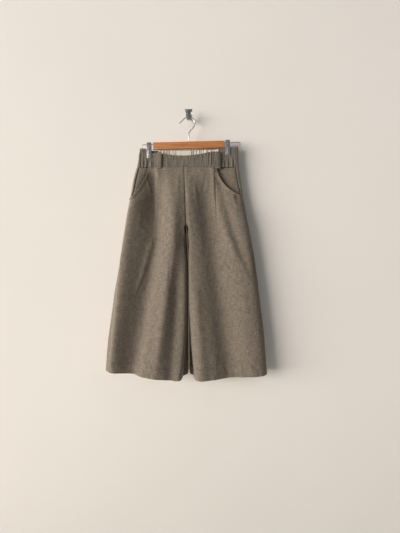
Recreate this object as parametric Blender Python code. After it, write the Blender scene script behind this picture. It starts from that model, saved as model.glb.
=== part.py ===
"""Culottes hung by two clips from a wooden trouser hanger, on a small steel wall hook.

Metres, +Z up. The origin is the centre of the wall hook plate's back face, the wall is the plane
Y = 0, and the front of the garment faces -Y. Left and right are the viewer's: left is -X.
"""

import functools
import math
from collections import namedtuple

import bmesh
import bpy
import numpy as np
from mathutils import Matrix, Vector

for old in list(bpy.data.objects):
    bpy.data.objects.remove(old, do_unlink=True)

# ---------------------------------------------------------------- driving dimensions
LEFT, RIGHT = -1, 1
FRONT, BACK = -1, 1

CLOTH = 0.0015  # one layer of the woven cloth
BAND = 0.0025  # the waistband, cloth folded double
LINING = 0.0010
GAP = 0.0003  # between pieces that meet
HEM_DEPTH = 0.038  # turned up and stitched
HEM_EXTRA = 0.0012  # what the turned layer adds inside

WAIST_SEAM_Z = -0.190  # where the waistband meets the panels
HEM_Z = -0.910
CROTCH_START_Z = -0.385  # the centre seams begin to run back
CROTCH_Z = -0.468  # the legs part
BACK_TOP_Z = -0.1264  # just under the hanger's bar
SIDE_TOP_Z = -0.1215
FRONT_TOP_Z = -0.1370
FRONT_SAG = 0.0135  # the front's top edge dips this much more between the clips
SAG_X, SAG_HALF_WIDTH = -0.018, 0.105
TOP_TILT = {FRONT: 0.012, BACK: 0.0257}  # the top edges rise this much a metre to the right

POCKET_TOP_X = {LEFT: -0.138, RIGHT: 0.100}
POCKET_TOP_Z = -0.195
POCKET_END_Z = {LEFT: -0.306, RIGHT: -0.290}
POCKET_CURVE = {LEFT: (1.1, 0.85), RIGHT: (1.5, 0.6)}  # the left one hangs nearly straight
FACING_LAP = 0.030  # the hip facing reaches this far in under the front
FACING_SINK = 0.0015  # and lies this much looser there

LOOP_X = {LEFT: -0.0993, RIGHT: 0.1040}
LOOP_WIDTH, LOOP_STAND_OFF = 0.015, 0.0016
LOOP_CLEARANCE = 0.0014
LOOP_TOP_Z, LOOP_END_Z = -0.139, -0.196

LINING_X = {LEFT: -0.106, RIGHT: 0.108}
LABEL_X = {LEFT: -0.036, RIGHT: 0.0115}
LABEL_TOP_Z, LABEL_END_Z = -0.1295, -0.1500

CLIP_X = {LEFT: -0.1355, RIGHT: 0.1396}
CLIP_FLAT, CLIP_FADE = 0.0180, 0.036  # pressed flat this near a clip, free this far off
CLAMPED = {FRONT: 0.0040, BACK: 0.0045}  # half the waist's depth between the jaws

# Sections of the garment, top to hem: the outline's left and right edges, the centre seam, the
# depth of the side seams' line and how far the front and the back stand out from it. fold is how
# far each leg's front keeps off the centre. wrap_left and wrap_right are how far the back panels
# lap round the sides towards the front.
Section = namedtuple("Section", "z left right centre mid front back fold wrap_left wrap_right")
SECTIONS = [
    Section(-0.120, -0.1690, 0.1775, -0.014, -0.035, 0.013, 0.011, 0.0000, 0.000, 0.000),
    Section(-0.155, -0.1750, 0.1745, -0.014, -0.035, 0.013, 0.011, 0.0000, 0.000, 0.000),
    Section(-0.190, -0.1812, 0.1790, -0.014, -0.035, 0.015, 0.012, 0.0000, 0.010, 0.000),
    Section(-0.225, -0.1912, 0.1840, -0.013, -0.035, 0.021, 0.014, 0.0000, 0.015, 0.000),
    Section(-0.285, -0.2000, 0.1930, -0.011, -0.036, 0.029, 0.017, 0.0000, 0.017, 0.000),
    Section(-0.345, -0.2115, 0.2030, -0.009, -0.038, 0.034, 0.019, 0.0000, 0.017, 0.000),
    Section(-0.420, -0.2228, 0.2175, -0.005, -0.040, 0.039, 0.022, 0.0000, 0.016, 0.002),
    Section(-0.520, -0.2370, 0.2345, -0.002, -0.042, 0.045, 0.024, 0.0000, 0.014, 0.006),
    Section(-0.615, -0.2530, 0.2470, 0.000, -0.043, 0.050, 0.026, 0.0020, 0.012, 0.009),
    Section(-0.715, -0.2650, 0.2590, 0.001, -0.044, 0.054, 0.027, 0.0030, 0.010, 0.010),
    Section(-0.810, -0.2775, 0.2685, 0.002, -0.045, 0.058, 0.028, 0.0105, 0.010, 0.011),
    Section(-0.910, -0.2850, 0.2765, 0.002, -0.046, 0.061, 0.029, 0.0200, 0.010, 0.012),
]
# Each face's profile: how square its outer side and its inner corner are, where 1 is a straight
# slope and 2 an ellipse, and the share of its width that the inner corner takes on a leg.
Profile = namedtuple("Profile", "side face outer inner corner")
PROFILES = [
    Profile(LEFT, FRONT, 3.6, 2.4, 0.12),
    Profile(RIGHT, FRONT, 1.4, 2.6, 0.14),
    Profile(LEFT, BACK, 3.0, 2.6, 0.40),
    Profile(RIGHT, BACK, 3.0, 2.6, 0.40),
]
WAIST_SQUARE = 2.6  # how square every face's outer side is at the waist
WAIST_FADE_Z, WAIST_FADE = -0.240, 0.060  # from its own profile up to the waist's
INSEAM_SETBACK = 0.62  # the inseam lies this share of the back's depth behind the side seams

# Heights of the hem's edge, from the inseam to the side seam.
Hem = namedtuple("Hem", "side face inseam fold middle side_seam")
HEMS = [
    Hem(LEFT, FRONT, -0.911, -0.925, -0.909, -0.891),
    Hem(RIGHT, FRONT, -0.911, -0.922, -0.917, -0.909),
    Hem(LEFT, BACK, -0.911, -0.908, -0.902, -0.891),
    Hem(RIGHT, BACK, -0.911, -0.909, -0.910, -0.909),
]
HEM_SHARES = (0.0, 0.10, 0.50, 1.0)

# The largest folds: where each runs at its top, bend and end, how wide it is towards its left and
# its right, how far it stands out, or sinks in where height is negative, and the heights over
# which it fades in at its top and out at its end. The last of each front's run on past the hem.
Fold = namedtuple(
    "Fold", "side face top_x top_z bend_x bend_z end_x end_z left right height fade_in fade_out")
PAST = -1.0
FOLDS = [
    Fold(LEFT, FRONT, -0.104, -0.190, -0.110, -0.450, -0.206, PAST, 0.044, 0.022, -0.027, 0.20, 0.05),
    Fold(LEFT, FRONT, -0.040, -0.240, -0.050, -0.463, -0.121, PAST, 0.021, 0.021, 0.013, 0.20, 0.20),
    Fold(LEFT, FRONT, -0.180, -0.300, -0.222, -0.514, -0.268, PAST, 0.012, 0.020, 0.007, 0.10, 0.15),
    Fold(LEFT, FRONT, -0.030, -0.500, -0.038, -0.700, -0.058, PAST, 0.018, 0.014, -0.009, 0.14, 0.05),
    Fold(RIGHT, FRONT, 0.054, -0.200, 0.074, -0.412, 0.166, PAST, 0.026, 0.024, -0.016, 0.12, 0.05),
    Fold(RIGHT, FRONT, 0.104, -0.205, 0.158, -0.412, 0.222, -0.600, 0.014, 0.016, -0.005, 0.05, 0.10),
    Fold(RIGHT, FRONT, 0.022, -0.560, 0.040, -0.720, 0.062, PAST, 0.018, 0.020, 0.009, 0.12, 0.05),
    Fold(LEFT, FRONT, -0.013, -0.200, -0.006, -0.400, -0.004, -0.520, 0.026, 0.014, -0.007, 0.10, 0.06),
    Fold(RIGHT, FRONT, -0.013, -0.200, -0.006, -0.400, -0.004, -0.520, 0.014, 0.014, -0.007, 0.10, 0.06),
    Fold(LEFT, BACK, -0.060, -0.200, -0.085, -0.500, -0.110, PAST, 0.024, 0.024, -0.007, 0.05, 0.05),
    Fold(LEFT, BACK, -0.140, -0.300, -0.180, -0.600, -0.200, PAST, 0.026, 0.026, -0.008, 0.05, 0.05),
    Fold(RIGHT, BACK, 0.050, -0.220, 0.070, -0.520, 0.080, PAST, 0.024, 0.024, -0.008, 0.05, 0.05),
    Fold(RIGHT, BACK, 0.125, -0.260, 0.160, -0.560, 0.190, PAST, 0.028, 0.028, -0.007, 0.05, 0.05),
]
SEAM_CALM = 0.030  # folds die out over this width at a seam

# Pressed pleats below the waistband: a soft rise towards a crisp edge that laps to the right.
Pleat = namedtuple("Pleat", "side top_x end_x end_z height")
PLEATS = [
    Pleat(LEFT, -0.1055, -0.108, -0.460, 0.0045),
    Pleat(RIGHT, 0.090, 0.095, -0.390, 0.0040),
]
PLEAT_RISE, PLEAT_DROP = 0.024, 0.006
PLEAT_START = 0.08  # the share of its height over which a pleat comes up below the waist seam

# The hanger, in its own untilted frame.
HANGER_TILT = math.radians(1.47)  # the right end is up
HANGER_Y = -0.035
BAR_SIZE = (0.2515, 0.0120, 0.0254)
BAR_X, BAR_Z = -0.0012, -0.1122
BAR_ROUNDING = 0.0030
ROD_RADIUS, HOOK_RADIUS = 0.0016, 0.0018
ROD_Z = -0.1062
ROD_REACH = {LEFT: -0.1650, RIGHT: 0.1790}  # where each rod bends back
ROD_BEND = 0.0050
CLIP_WIDTH = 0.016
JAW_PLATE, JAW_LIP = 0.0012, 0.0030
JAW_STAND_OFF = 0.0062
JAW_TOP_Z = {LEFT: -0.1005, RIGHT: -0.0985}
JAW_END_Z = {LEFT: -0.1545, RIGHT: -0.1500}
SPRING_RADIUS, SPRING_LENGTH = 0.0044, 0.015
# The wire hook's centre line, from its free tip over the wall hook's arm and down to the bar.
HOOK_PATH = [
    (-0.0328, -0.0347),
    (-0.0220, -0.0252),
    (-0.0113, -0.0162),
    (-0.0050, -0.0128),
    (0.0020, -0.0121),
    (0.0100, -0.0145),
    (0.0172, -0.0212),
    (0.0214, -0.0290),
    (0.0222, -0.0375),
    (0.0185, -0.0470),
    (0.0115, -0.0550),
    (0.0050, -0.0620),
    (0.0006, -0.0690),
    (0.0000, -0.0790),
]

# The wall hook.
PLATE_SIZE = (0.016, 0.003, 0.019)
ARM_WIDTH, ARM_HEIGHT = 0.008, 0.005
ARM_TOP_Z = -0.0153
STRAP_X, STRAP_Y = 0.0006, -0.0430
STRAP_SIZE = (0.0167, 0.0024, 0.0280)
STRAP_END_Z = -0.0255
CAP_SIZE = (0.0254, 0.0050, 0.0086)
SCREW_RADIUS = 0.0026

SECTION_BLUR = 0.025
SAMPLES = 240  # points along a section before the columns are picked
CORNER_PASSES = 30  # how much its corners are rounded


# ---------------------------------------------------------------- the garment's form
def ease(value):
    """0 to 1 with soft ends, as value goes from 0 to 1."""
    t = np.clip(value, 0.0, 1.0)
    return t * t * (3 - 2 * t)


@functools.lru_cache(maxsize=None)
def section(z):
    """The section at height z, between the table's rows, with the rows' kinks smoothed out."""
    heights = [-row.z for row in SECTIONS]
    around = np.linspace(-SECTION_BLUR, SECTION_BLUR, 5) - z
    return Section(z, *(float(np.mean(np.interp(around, heights, [row[i] for row in SECTIONS])))
                        for i in range(1, len(Section._fields))))


def legs_apart(z):
    """0 above the crotch curve, 1 where the legs are two tubes."""
    return float(ease((CROTCH_START_Z - z) / (CROTCH_START_Z - CROTCH_Z)))


def outline(side, z):
    row = section(z)
    return row.left if side == LEFT else row.right


def spaced(points, count):
    """The same line with its points evenly along it."""
    steps = np.hypot(*np.diff(points, axis=0).T)
    along = np.concatenate([[0.0], np.cumsum(steps)])
    keep = np.concatenate([[True], steps > 1e-9])
    even = np.linspace(0.0, along[-1], count)
    return np.column_stack([np.interp(even, along[keep], points[keep, i]) for i in (0, 1)])


def softened(points, passes, closed=False):
    """Corners rounded. An open line keeps its ends, and a closed one starts and ends together."""
    for _ in range(passes):
        ends = (points[-2:-1], points[1:2]) if closed else (2 * points[:1] - points[1:2],
                                                            2 * points[-1:] - points[-2:-1])
        padded = np.vstack([ends[0], points, ends[1]])
        points = (padded[:-2] + 2 * points + padded[2:]) / 4
    return points


def normals(points, closed=False):
    """Unit normals on the line's right as it runs."""
    along = np.gradient(points, axis=0)
    if closed:
        along[0] = along[-1] = points[1] - points[-2]
    along /= np.maximum(np.hypot(*along.T), 1e-12)[:, None]
    return np.column_stack([along[:, 1], -along[:, 0]])


def pinch(x, z):
    """1 where a clip presses the waist flat, 0 away from it."""
    off = min(abs(x - CLIP_X[LEFT]), abs(x - CLIP_X[RIGHT]))
    across = 1 - ease((off - CLIP_FLAT) / (CLIP_FADE - CLIP_FLAT))
    return across * (1 - ease((-0.160 - z) / 0.045))


def fold_height(side, face, x, z):
    """How far the folds and pleats move a point of the panel outwards."""
    total = 0.0
    for fold in FOLDS:
        if (fold.side, fold.face) != (side, face):
            continue
        heights = [-fold.top_z, -fold.bend_z, -fold.end_z]
        at = np.interp(-z, heights, [fold.top_x, fold.bend_x, fold.end_x])
        ends = ease((fold.top_z - z) / fold.fade_in) * ease((z - fold.end_z) / fold.fade_out)
        width = fold.left if x < at else fold.right
        total += fold.height * ends * math.exp(-(((x - at) / width) ** 2))
    for pleat in PLEATS:
        share = (WAIST_SEAM_Z - z) / (WAIST_SEAM_Z - pleat.end_z)
        if (pleat.side, FRONT) != (side, face) or share < 0:
            continue
        out = x - (pleat.top_x + (pleat.end_x - pleat.top_x) * share)
        rise = ease(1 + out / PLEAT_RISE) if out < 0 else ease(1 - out / PLEAT_DROP)
        total += pleat.height * rise * ease(share / PLEAT_START) * (1 - ease(share))
    return total


def face_curve(side, face, z):
    """One face of one leg at height z, from the side to the inner edge, with its folds."""
    row = section(z)
    legs = legs_apart(z)
    outer, inner = outline(side, z), row.centre + side * GAP
    kept_off = row.fold if face == FRONT else 0.0
    shape = next(p for p in PROFILES if (p.side, p.face) == (side, face))
    to_waist = float(ease((z - WAIST_FADE_Z) / WAIST_FADE))
    square = shape.outer + (WAIST_SQUARE - shape.outer) * to_waist
    share = 0.5 + 0.5 * np.cos(np.linspace(0.0, math.pi, SAMPLES))
    folded = inner + side * kept_off
    x = folded + (outer - folded) * share
    rise = (1 - share ** square) ** (1 / square)
    corner = np.clip(1 - share / shape.corner, 0.0, 1.0)
    rise *= 1 - legs * (1 - (1 - corner ** shape.inner) ** (1 / shape.inner))
    depth = (row.front if face == FRONT else row.back) * rise
    clamped = np.array([pinch(at, z) for at in x])
    depth += clamped * (np.minimum(depth, CLAMPED[face]) - depth)
    y = row.mid + legs * INSEAM_SETBACK * row.back * (1 - share) ** 2 + face * depth
    points = np.column_stack([x, y])
    if kept_off > 1e-4:
        run = np.linspace(folded, inner, 20)[1:]
        points = np.vstack([points, np.column_stack([run, np.full(len(run), y[-1])])])
    points = softened(spaced(points, SAMPLES), 12)
    from_ends = np.minimum(np.linspace(0, 1, SAMPLES), np.linspace(1, 0, SAMPLES))
    calm = ease(from_ends * abs(outer - inner) / SEAM_CALM)
    calm = np.where(np.linspace(0, 1, SAMPLES) > 0.5, np.maximum(calm, 1 - legs), calm)
    moved = [fold_height(side, face, x, z) * c for (x, _), c in zip(points, calm)]
    away = normals(points) * (side * face)
    return points + away * np.array(moved)[:, None]


@functools.lru_cache(maxsize=None)
def girth(side, z):
    """One leg's section as (lengths, points, normals). Length 0 is the outline's outer edge, the
    front is positive and the back negative."""
    front = face_curve(side, FRONT, z)
    back = face_curve(side, BACK, z)
    closed = z <= CROTCH_Z
    points = softened(np.vstack([back[::-1], front[1:]]), CORNER_PASSES, closed)
    steps = np.hypot(*np.diff(points, axis=0).T)
    lengths = np.concatenate([[0.0], np.cumsum(steps)])
    lengths -= lengths[len(back) - 1]
    return lengths, points, normals(points, closed) * -side


def place(side, length, z, inwards):
    """The point at a length round the section at height z, moved in from the outer face."""
    lengths, points, away = girth(side, z)
    at = np.array([np.interp(length, lengths, points[:, i]) for i in (0, 1)])
    out = np.array([np.interp(length, lengths, away[:, i]) for i in (0, 1)])
    x, y = at - out * inwards
    return float(x), float(y)


def length_at(side, face, x, z):
    """The length round the section where the named face crosses x."""
    lengths, points, _ = girth(side, z)
    on_face = lengths * -face >= 0
    order = np.argsort(points[on_face, 0])
    return float(np.interp(x, points[on_face, 0][order], lengths[on_face][order]))


def side_seam(side, z):
    """How far round the outline's outer edge, towards the front, the side seam lies."""
    return section(z).wrap_left if side == LEFT else section(z).wrap_right


def hem_height(side, face, x):
    """The hem's height at x, from the inseam to the side seam."""
    centre = section(HEM_Z).centre
    share = (x - centre) / (outline(side, HEM_Z) - centre)
    hem = next(h for h in HEMS if (h.side, h.face) == (side, face))
    return float(np.interp(share, HEM_SHARES, hem[2:]))


def pocket_edge(side, z):
    """Where the pocket's curved opening crosses height z, or None below it."""
    share = (POCKET_TOP_Z - z) / (POCKET_TOP_Z - POCKET_END_Z[side])
    if share >= 1:
        return None
    start, end = POCKET_CURVE[side]
    curve = 1 - (1 - max(share, 0.0) ** start) ** end
    return POCKET_TOP_X[side] + (outline(side, z) - POCKET_TOP_X[side]) * curve


def top_edge(face, x):
    """The waistband's top edge at x."""
    tilt = TOP_TILT[face] * x
    middle = (CLIP_X[LEFT] + CLIP_X[RIGHT]) / 2
    inside = float(ease((0.156 - abs(x - middle)) / 0.030))
    if face == BACK:
        return SIDE_TOP_Z + (BACK_TOP_Z - SIDE_TOP_Z) * inside + tilt
    dip = max(0.0, 1 - ((x - SAG_X) / SAG_HALF_WIDTH) ** 2) ** 1.3
    return SIDE_TOP_Z + (FRONT_TOP_Z - SIDE_TOP_Z) * inside - FRONT_SAG * dip + tilt


# ---------------------------------------------------------------- building helpers
def material(name, colour, roughness, metallic=0.0):
    made = bpy.data.materials.new(name)
    made.use_nodes = True
    shader = made.node_tree.nodes["Principled BSDF"]
    shader.inputs["Base Color"].default_value = (*colour, 1.0)
    shader.inputs["Roughness"].default_value = roughness
    shader.inputs["Metallic"].default_value = metallic
    return made


def object_from(bm, name, finish, smooth_angle=40, parent=None):
    """The bmesh as a named object with one material and smooth rounded faces."""
    bmesh.ops.recalc_face_normals(bm, faces=bm.faces)
    mesh = bpy.data.meshes.new(name)
    bm.to_mesh(mesh)
    bm.free()
    mesh.materials.append(finish)
    mesh.shade_smooth()
    mesh.set_sharp_from_angle(angle=math.radians(smooth_angle))
    made = bpy.data.objects.new(name, mesh)
    bpy.context.scene.collection.objects.link(made)
    made.parent = parent
    return made


def cloth_wall(name, columns, rows, form, finish):
    """A closed wall: a grid and its copy, joined at the rim and laid on form(across, down, layer)."""
    bm = bmesh.new()
    bmesh.ops.create_grid(bm, x_segments=columns, y_segments=rows, size=0.5)
    outer = bm.verts[:]
    extruded = bmesh.ops.extrude_face_region(bm, geom=bm.faces[:])
    inner = [v for v in extruded["geom"] if isinstance(v, bmesh.types.BMVert)]
    for layer, verts in ((0, outer), (1, inner)):
        for vert in verts:
            vert.co = form(vert.co.x + 0.5, 0.5 - vert.co.y, layer)
    return object_from(bm, name, finish)


def box(name, size, centre, finish, rounding=0.0, parent=None):
    bm = bmesh.new()
    bmesh.ops.create_cube(bm, size=1.0)
    bmesh.ops.scale(bm, vec=size, verts=bm.verts)
    if rounding:
        bmesh.ops.bevel(bm, geom=bm.edges[:], offset=rounding, segments=3,
                        affect="EDGES", profile=0.5, material=-1)
    bmesh.ops.translate(bm, vec=centre, verts=bm.verts)
    return object_from(bm, name, finish, parent=parent)


def extrusion(name, corners, depth_vector, finish, parent=None):
    """A closed flat shape, extruded along a vector."""
    bm = bmesh.new()
    face = bm.faces.new([bm.verts.new(point) for point in corners])
    extruded = bmesh.ops.extrude_face_region(bm, geom=[face])
    moved = [v for v in extruded["geom"] if isinstance(v, bmesh.types.BMVert)]
    bmesh.ops.translate(bm, vec=depth_vector, verts=moved)
    return object_from(bm, name, finish, parent=parent)


def wire(name, points, radius, finish, parent=None):
    """A round wire along a smooth line through the points."""
    curve = bpy.data.curves.new(name, "CURVE")
    curve.dimensions = "3D"
    curve.bevel_depth = radius
    curve.bevel_resolution = 3
    curve.use_fill_caps = True
    spline = curve.splines.new("POLY")
    spline.points.add(len(points) - 1)
    for slot, point in zip(spline.points, points):
        slot.co = (*point, 1.0)
    curve.materials.append(finish)
    made = bpy.data.objects.new(name, curve)
    bpy.context.scene.collection.objects.link(made)
    made.parent = parent
    return made


def smooth_line(points, steps):
    """Points along a Catmull-Rom curve through the given ones."""
    ends = [points[0] * 2 - points[1], *points, points[-1] * 2 - points[-2]]
    line = []
    for a, b, c, d in zip(ends, ends[1:], ends[2:], ends[3:]):
        for i in range(steps):
            t = i / steps
            line.append(0.5 * (2 * b + (c - a) * t + (2 * a - 5 * b + 4 * c - d) * t ** 2
                               + (3 * b - a - 3 * c + d) * t ** 3))
    return [*line, points[-1]]


# ---------------------------------------------------------------- the garment's pieces
PANEL_COLUMNS = 18
ROWS_BY_POCKET, ROWS_BELOW, ROWS_IN_HEM = 9, 12, 1
PANEL_ROWS = ROWS_BY_POCKET + ROWS_BELOW + ROWS_IN_HEM
ROW_CROWDING = {FRONT: 1.6, BACK: 1.0}


def panel_height(side, face, down):
    """Heights of a panel's rows: down to the pocket's end, closer and closer on the front, then
    even, and one row for the hem."""
    row = round(down * PANEL_ROWS)
    top = WAIST_SEAM_Z - GAP
    end = POCKET_END_Z[side] - FACING_SINK
    if row <= ROWS_BY_POCKET:
        return top + (end - top) * (1 - (1 - row / ROWS_BY_POCKET) ** ROW_CROWDING[face])
    marks = [ROWS_BY_POCKET, ROWS_BY_POCKET + ROWS_BELOW, PANEL_ROWS]
    return float(np.interp(row, marks, [end, HEM_Z + HEM_DEPTH, HEM_Z]))


def panel(side, face, name, finish):
    """A leg panel, from the waist seam to the hem and from the side seam to the inner seam."""

    def form(across, down, layer):
        z = panel_height(side, face, down)
        lengths, _, _ = girth(side, z)
        seam = side_seam(side, z)
        if face == FRONT:
            edge = pocket_edge(side, z)
            start = seam + GAP if edge is None else length_at(side, FRONT, edge, z)
            start = max(start, seam + GAP)
            end = lengths[-1] - GAP
        else:
            start = seam - GAP / 2
            end = lengths[0] + GAP
        wall = CLOTH + HEM_EXTRA * float(z < HEM_Z + HEM_DEPTH / 2)
        x, y = place(side, start + (end - start) * across, z, wall * layer)
        drop = float(ease((-0.55 - z) / (-0.55 - HEM_Z)))
        hem_x = place(side, start + (end - start) * across, z, 0.0)[0]
        rise = (hem_height(side, face, hem_x) - HEM_Z) * drop
        return x, y, z + rise

    return cloth_wall(name, PANEL_COLUMNS, PANEL_ROWS, form, finish)


def waist_point(face, position, z, inwards):
    """A point round the waist's front or back: position -1 is the left side, +1 the right."""
    side = LEFT if position < 0 else RIGHT
    lengths, _, _ = girth(side, z)
    reach = abs(lengths[-1] if face == FRONT else lengths[0])
    length = reach * (1 - abs(position))
    return place(side, -face * max(length, GAP), z, inwards)


def waistband(face, name, finish):
    def form(across, down, layer):
        z = SIDE_TOP_Z + (WAIST_SEAM_Z - SIDE_TOP_Z) * down
        position = 2 * across - 1
        x, y = waist_point(face, position, z, BAND * layer)
        return x, y, z + (top_edge(face, x) - SIDE_TOP_Z) * (1 - down)

    return cloth_wall(name, 36, 4, form, finish)


def patch(name, side_x, top_z, end_z, face, inwards, thickness, columns, rows, finish,
          bulge=0.0, follow_top=False):
    """A small piece lying on the waist, made from its points and moved in or out."""

    def form(across, down, layer):
        x_wanted = side_x[LEFT] + (side_x[RIGHT] - side_x[LEFT]) * across
        top = top_z + (top_edge(face, x_wanted) - BACK_TOP_Z if follow_top else 0.0)
        z = top + (end_z - top) * down
        side = LEFT if x_wanted < section(z).centre else RIGHT
        length = length_at(side, face, x_wanted, z)
        off = inwards - bulge * math.sin(math.pi * down) + thickness * layer
        x, y = place(side, length, z, off)
        return x, y, z

    return cloth_wall(name, columns, rows, form, finish)


def pocket_facing(side, name, finish):
    """The hip piece that shows above the pocket's opening and reaches under the front."""

    rows = ROWS_BY_POCKET + 1

    def form(across, down, layer):
        z = panel_height(side, FRONT, down * rows / PANEL_ROWS)
        start = side_seam(side, z) + GAP
        edge = pocket_edge(side, z)
        reach = (edge if edge is not None else outline(side, z)) - side * FACING_LAP
        end = length_at(side, FRONT, reach, z)
        inwards = CLOTH + GAP + FACING_SINK * (1 + 2 * across) + CLOTH * layer
        return (*place(side, start + (end - start) * across, z, inwards), z)

    return cloth_wall(name, 10, rows, form, finish)


def garment():
    cloth = material("linen cloth", (0.155, 0.125, 0.100), 0.92)
    band_cloth = material("linen waistband", (0.145, 0.118, 0.095), 0.92)
    facing_cloth = material("linen facing", (0.130, 0.108, 0.088), 0.92)
    pale = material("cotton lining", (0.70, 0.64, 0.52), 0.90)
    label_cloth = material("woven label", (0.80, 0.77, 0.70), 0.75)
    words = {LEFT: "left", RIGHT: "right"}
    for side, word in words.items():
        panel(side, FRONT, f"front_{word}", cloth)
        panel(side, BACK, f"back_{word}", cloth)
        pocket_facing(side, f"pocket_facing_{word}", facing_cloth)
        half = LOOP_WIDTH / 2
        patch(f"belt_loop_{word}", {LEFT: LOOP_X[side] - half, RIGHT: LOOP_X[side] + half},
              LOOP_TOP_Z, LOOP_END_Z, FRONT, -LOOP_CLEARANCE - CLOTH, CLOTH, 3, 8, band_cloth,
              bulge=LOOP_STAND_OFF)
    waistband(FRONT, "waistband_front", band_cloth)
    waistband(BACK, "waistband_back", band_cloth)
    patch("waistband_lining", LINING_X, BACK_TOP_Z - 0.001, WAIST_SEAM_Z + 0.004, BACK,
          BAND + 2 * GAP, LINING, 24, 2, pale, follow_top=True)
    patch("label", LABEL_X, LABEL_TOP_Z, LABEL_END_Z, BACK,
          BAND + LINING + 4 * GAP, LINING / 2, 6, 2, label_cloth)


# ---------------------------------------------------------------- the hanger
def hanger_frame():
    """An empty at the origin, tilted so that the hanger's right end is up."""
    frame = bpy.data.objects.new("hanger_frame", None)
    bpy.context.scene.collection.objects.link(frame)
    frame.rotation_euler = (0.0, -HANGER_TILT, 0.0)
    return frame


def rod(side, name, finish, frame):
    """A steel rod out of the bar's end, through the clip, with its tip bent down and back."""
    start = BAR_X + side * (BAR_SIZE[0] / 2 + GAP)
    reach = ROD_REACH[side]
    line = [Vector((start, HANGER_Y, ROD_Z)), Vector((reach - side * ROD_BEND, HANGER_Y, ROD_Z))]
    for step in range(1, 7):
        turned = math.pi / 2 * step / 6
        line.append(Vector((reach - side * ROD_BEND * (1 - math.sin(turned)),
                            HANGER_Y + 0.4 * ROD_BEND * (1 - math.cos(turned)),
                            ROD_Z - ROD_BEND * (1 - math.cos(turned)))))
    line.append(line[-1] + Vector((0.0, 0.0015, -0.0035)))
    return wire(name, line, ROD_RADIUS, finish, frame)


def jaw(side, face, name, finish, frame):
    """A stamped plate of the clip, its lower lip bent in to grip the cloth."""
    outer = JAW_STAND_OFF
    inner = JAW_STAND_OFF - JAW_PLATE
    grip = CLAMPED[face] + GAP
    top, end = JAW_TOP_Z[side], JAW_END_Z[side]
    profile = [(inner, top), (outer, top), (outer, end), (grip, end),
               (grip, end + JAW_LIP), (inner, end + 1.6 * JAW_LIP)]
    left = clip_centre(side) - CLIP_WIDTH / 2
    plate = [Vector((left, HANGER_Y + face * y, z)) for y, z in profile]
    return extrusion(name, plate, (CLIP_WIDTH, 0.0, 0.0), finish, frame)


def clip_centre(side):
    """The clip's place in the hanger's own frame, from where it grips the waist."""
    grip_z = -0.145
    return CLIP_X[side] * math.cos(HANGER_TILT) + grip_z * math.sin(HANGER_TILT)


def spring(side, name, finish, frame):
    """The clip's barrel, turned round the rod."""
    bore = ROD_RADIUS + GAP
    half = SPRING_LENGTH / 2
    bm = bmesh.new()
    corners = [(-half, bore), (half, bore), (half, SPRING_RADIUS), (-half, SPRING_RADIUS)]
    verts = [bm.verts.new((x, 0.0, radius)) for x, radius in corners]
    edges = [bm.edges.new((a, b)) for a, b in zip(verts, verts[1:] + verts[:1])]
    bmesh.ops.spin(bm, geom=[*verts, *edges], cent=(0, 0, 0), axis=(1, 0, 0),
                   angle=math.tau, steps=16, use_merge=True)
    bmesh.ops.translate(bm, vec=(clip_centre(side), HANGER_Y, ROD_Z), verts=bm.verts)
    return object_from(bm, name, finish, parent=frame)


def hanger():
    wood = material("orange wood", (0.52, 0.21, 0.075), 0.45)
    steel = material("hanger steel", (0.55, 0.54, 0.52), 0.35, 1.0)
    frame = hanger_frame()
    box("hanger_bar", BAR_SIZE, (BAR_X, HANGER_Y, BAR_Z), wood, BAR_ROUNDING, frame)
    bar_top = BAR_Z + BAR_SIZE[2] / 2
    path = [Vector((x, HANGER_Y, z)) for x, z in HOOK_PATH]
    line = smooth_line(path, 3)
    line.append(Vector((path[-1].x, HANGER_Y, bar_top + GAP)))
    wire("hanger_hook", line, HOOK_RADIUS, steel, frame)
    for side, word in ((LEFT, "left"), (RIGHT, "right")):
        rod(side, f"hanger_rod_{word}", steel, frame)
        jaw(side, FRONT, f"clip_{word}_front", steel, frame)
        jaw(side, BACK, f"clip_{word}_back", steel, frame)
        spring(side, f"clip_{word}_spring", steel, frame)


# ---------------------------------------------------------------- the wall hook
def wall_hook():
    steel = material("hook steel", (0.30, 0.29, 0.28), 0.40, 1.0)
    width, thickness, height = PLATE_SIZE
    box("wall_hook_plate", PLATE_SIZE, (0.0, -thickness / 2, 0.0), steel)
    arm_end = STRAP_Y + STRAP_SIZE[1] / 2 + GAP
    low = ARM_TOP_Z - ARM_HEIGHT
    arm = [(-thickness - GAP, -0.002), (-0.022, ARM_TOP_Z), (arm_end, ARM_TOP_Z),
           (arm_end, low), (-0.019, low), (-thickness - GAP, -0.008)]
    extrusion("wall_hook_arm", [Vector((-ARM_WIDTH / 2, y, z)) for y, z in arm],
              (ARM_WIDTH, 0.0, 0.0), steel)
    half, front = STRAP_SIZE[0] / 2, STRAP_Y - STRAP_SIZE[1] / 2
    tip_centre = STRAP_END_Z + half
    top = STRAP_END_Z + STRAP_SIZE[2]
    tip = [(-half * math.cos(math.pi * i / 12), tip_centre - half * math.sin(math.pi * i / 12))
           for i in range(13)]
    strap = [(-half, top), *tip, (half, top)]
    extrusion("wall_hook_strap", [Vector((STRAP_X + x, front, z)) for x, z in strap],
              (0.0, STRAP_SIZE[1], 0.0), steel)
    box("wall_hook_cap", CAP_SIZE, (STRAP_X + 0.0009, STRAP_Y, top + GAP + CAP_SIZE[2] / 2),
        steel, 0.0010)
    bm = bmesh.new()
    bmesh.ops.create_cone(bm, cap_ends=True, segments=16, radius1=SCREW_RADIUS,
                          radius2=SCREW_RADIUS * 0.7, depth=0.0012,
                          matrix=Matrix.Rotation(math.pi / 2, 4, "X"))
    bmesh.ops.translate(bm, vec=(STRAP_X, front - GAP - 0.0006, top - 0.005), verts=bm.verts)
    object_from(bm, "wall_hook_screw", steel)


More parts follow.
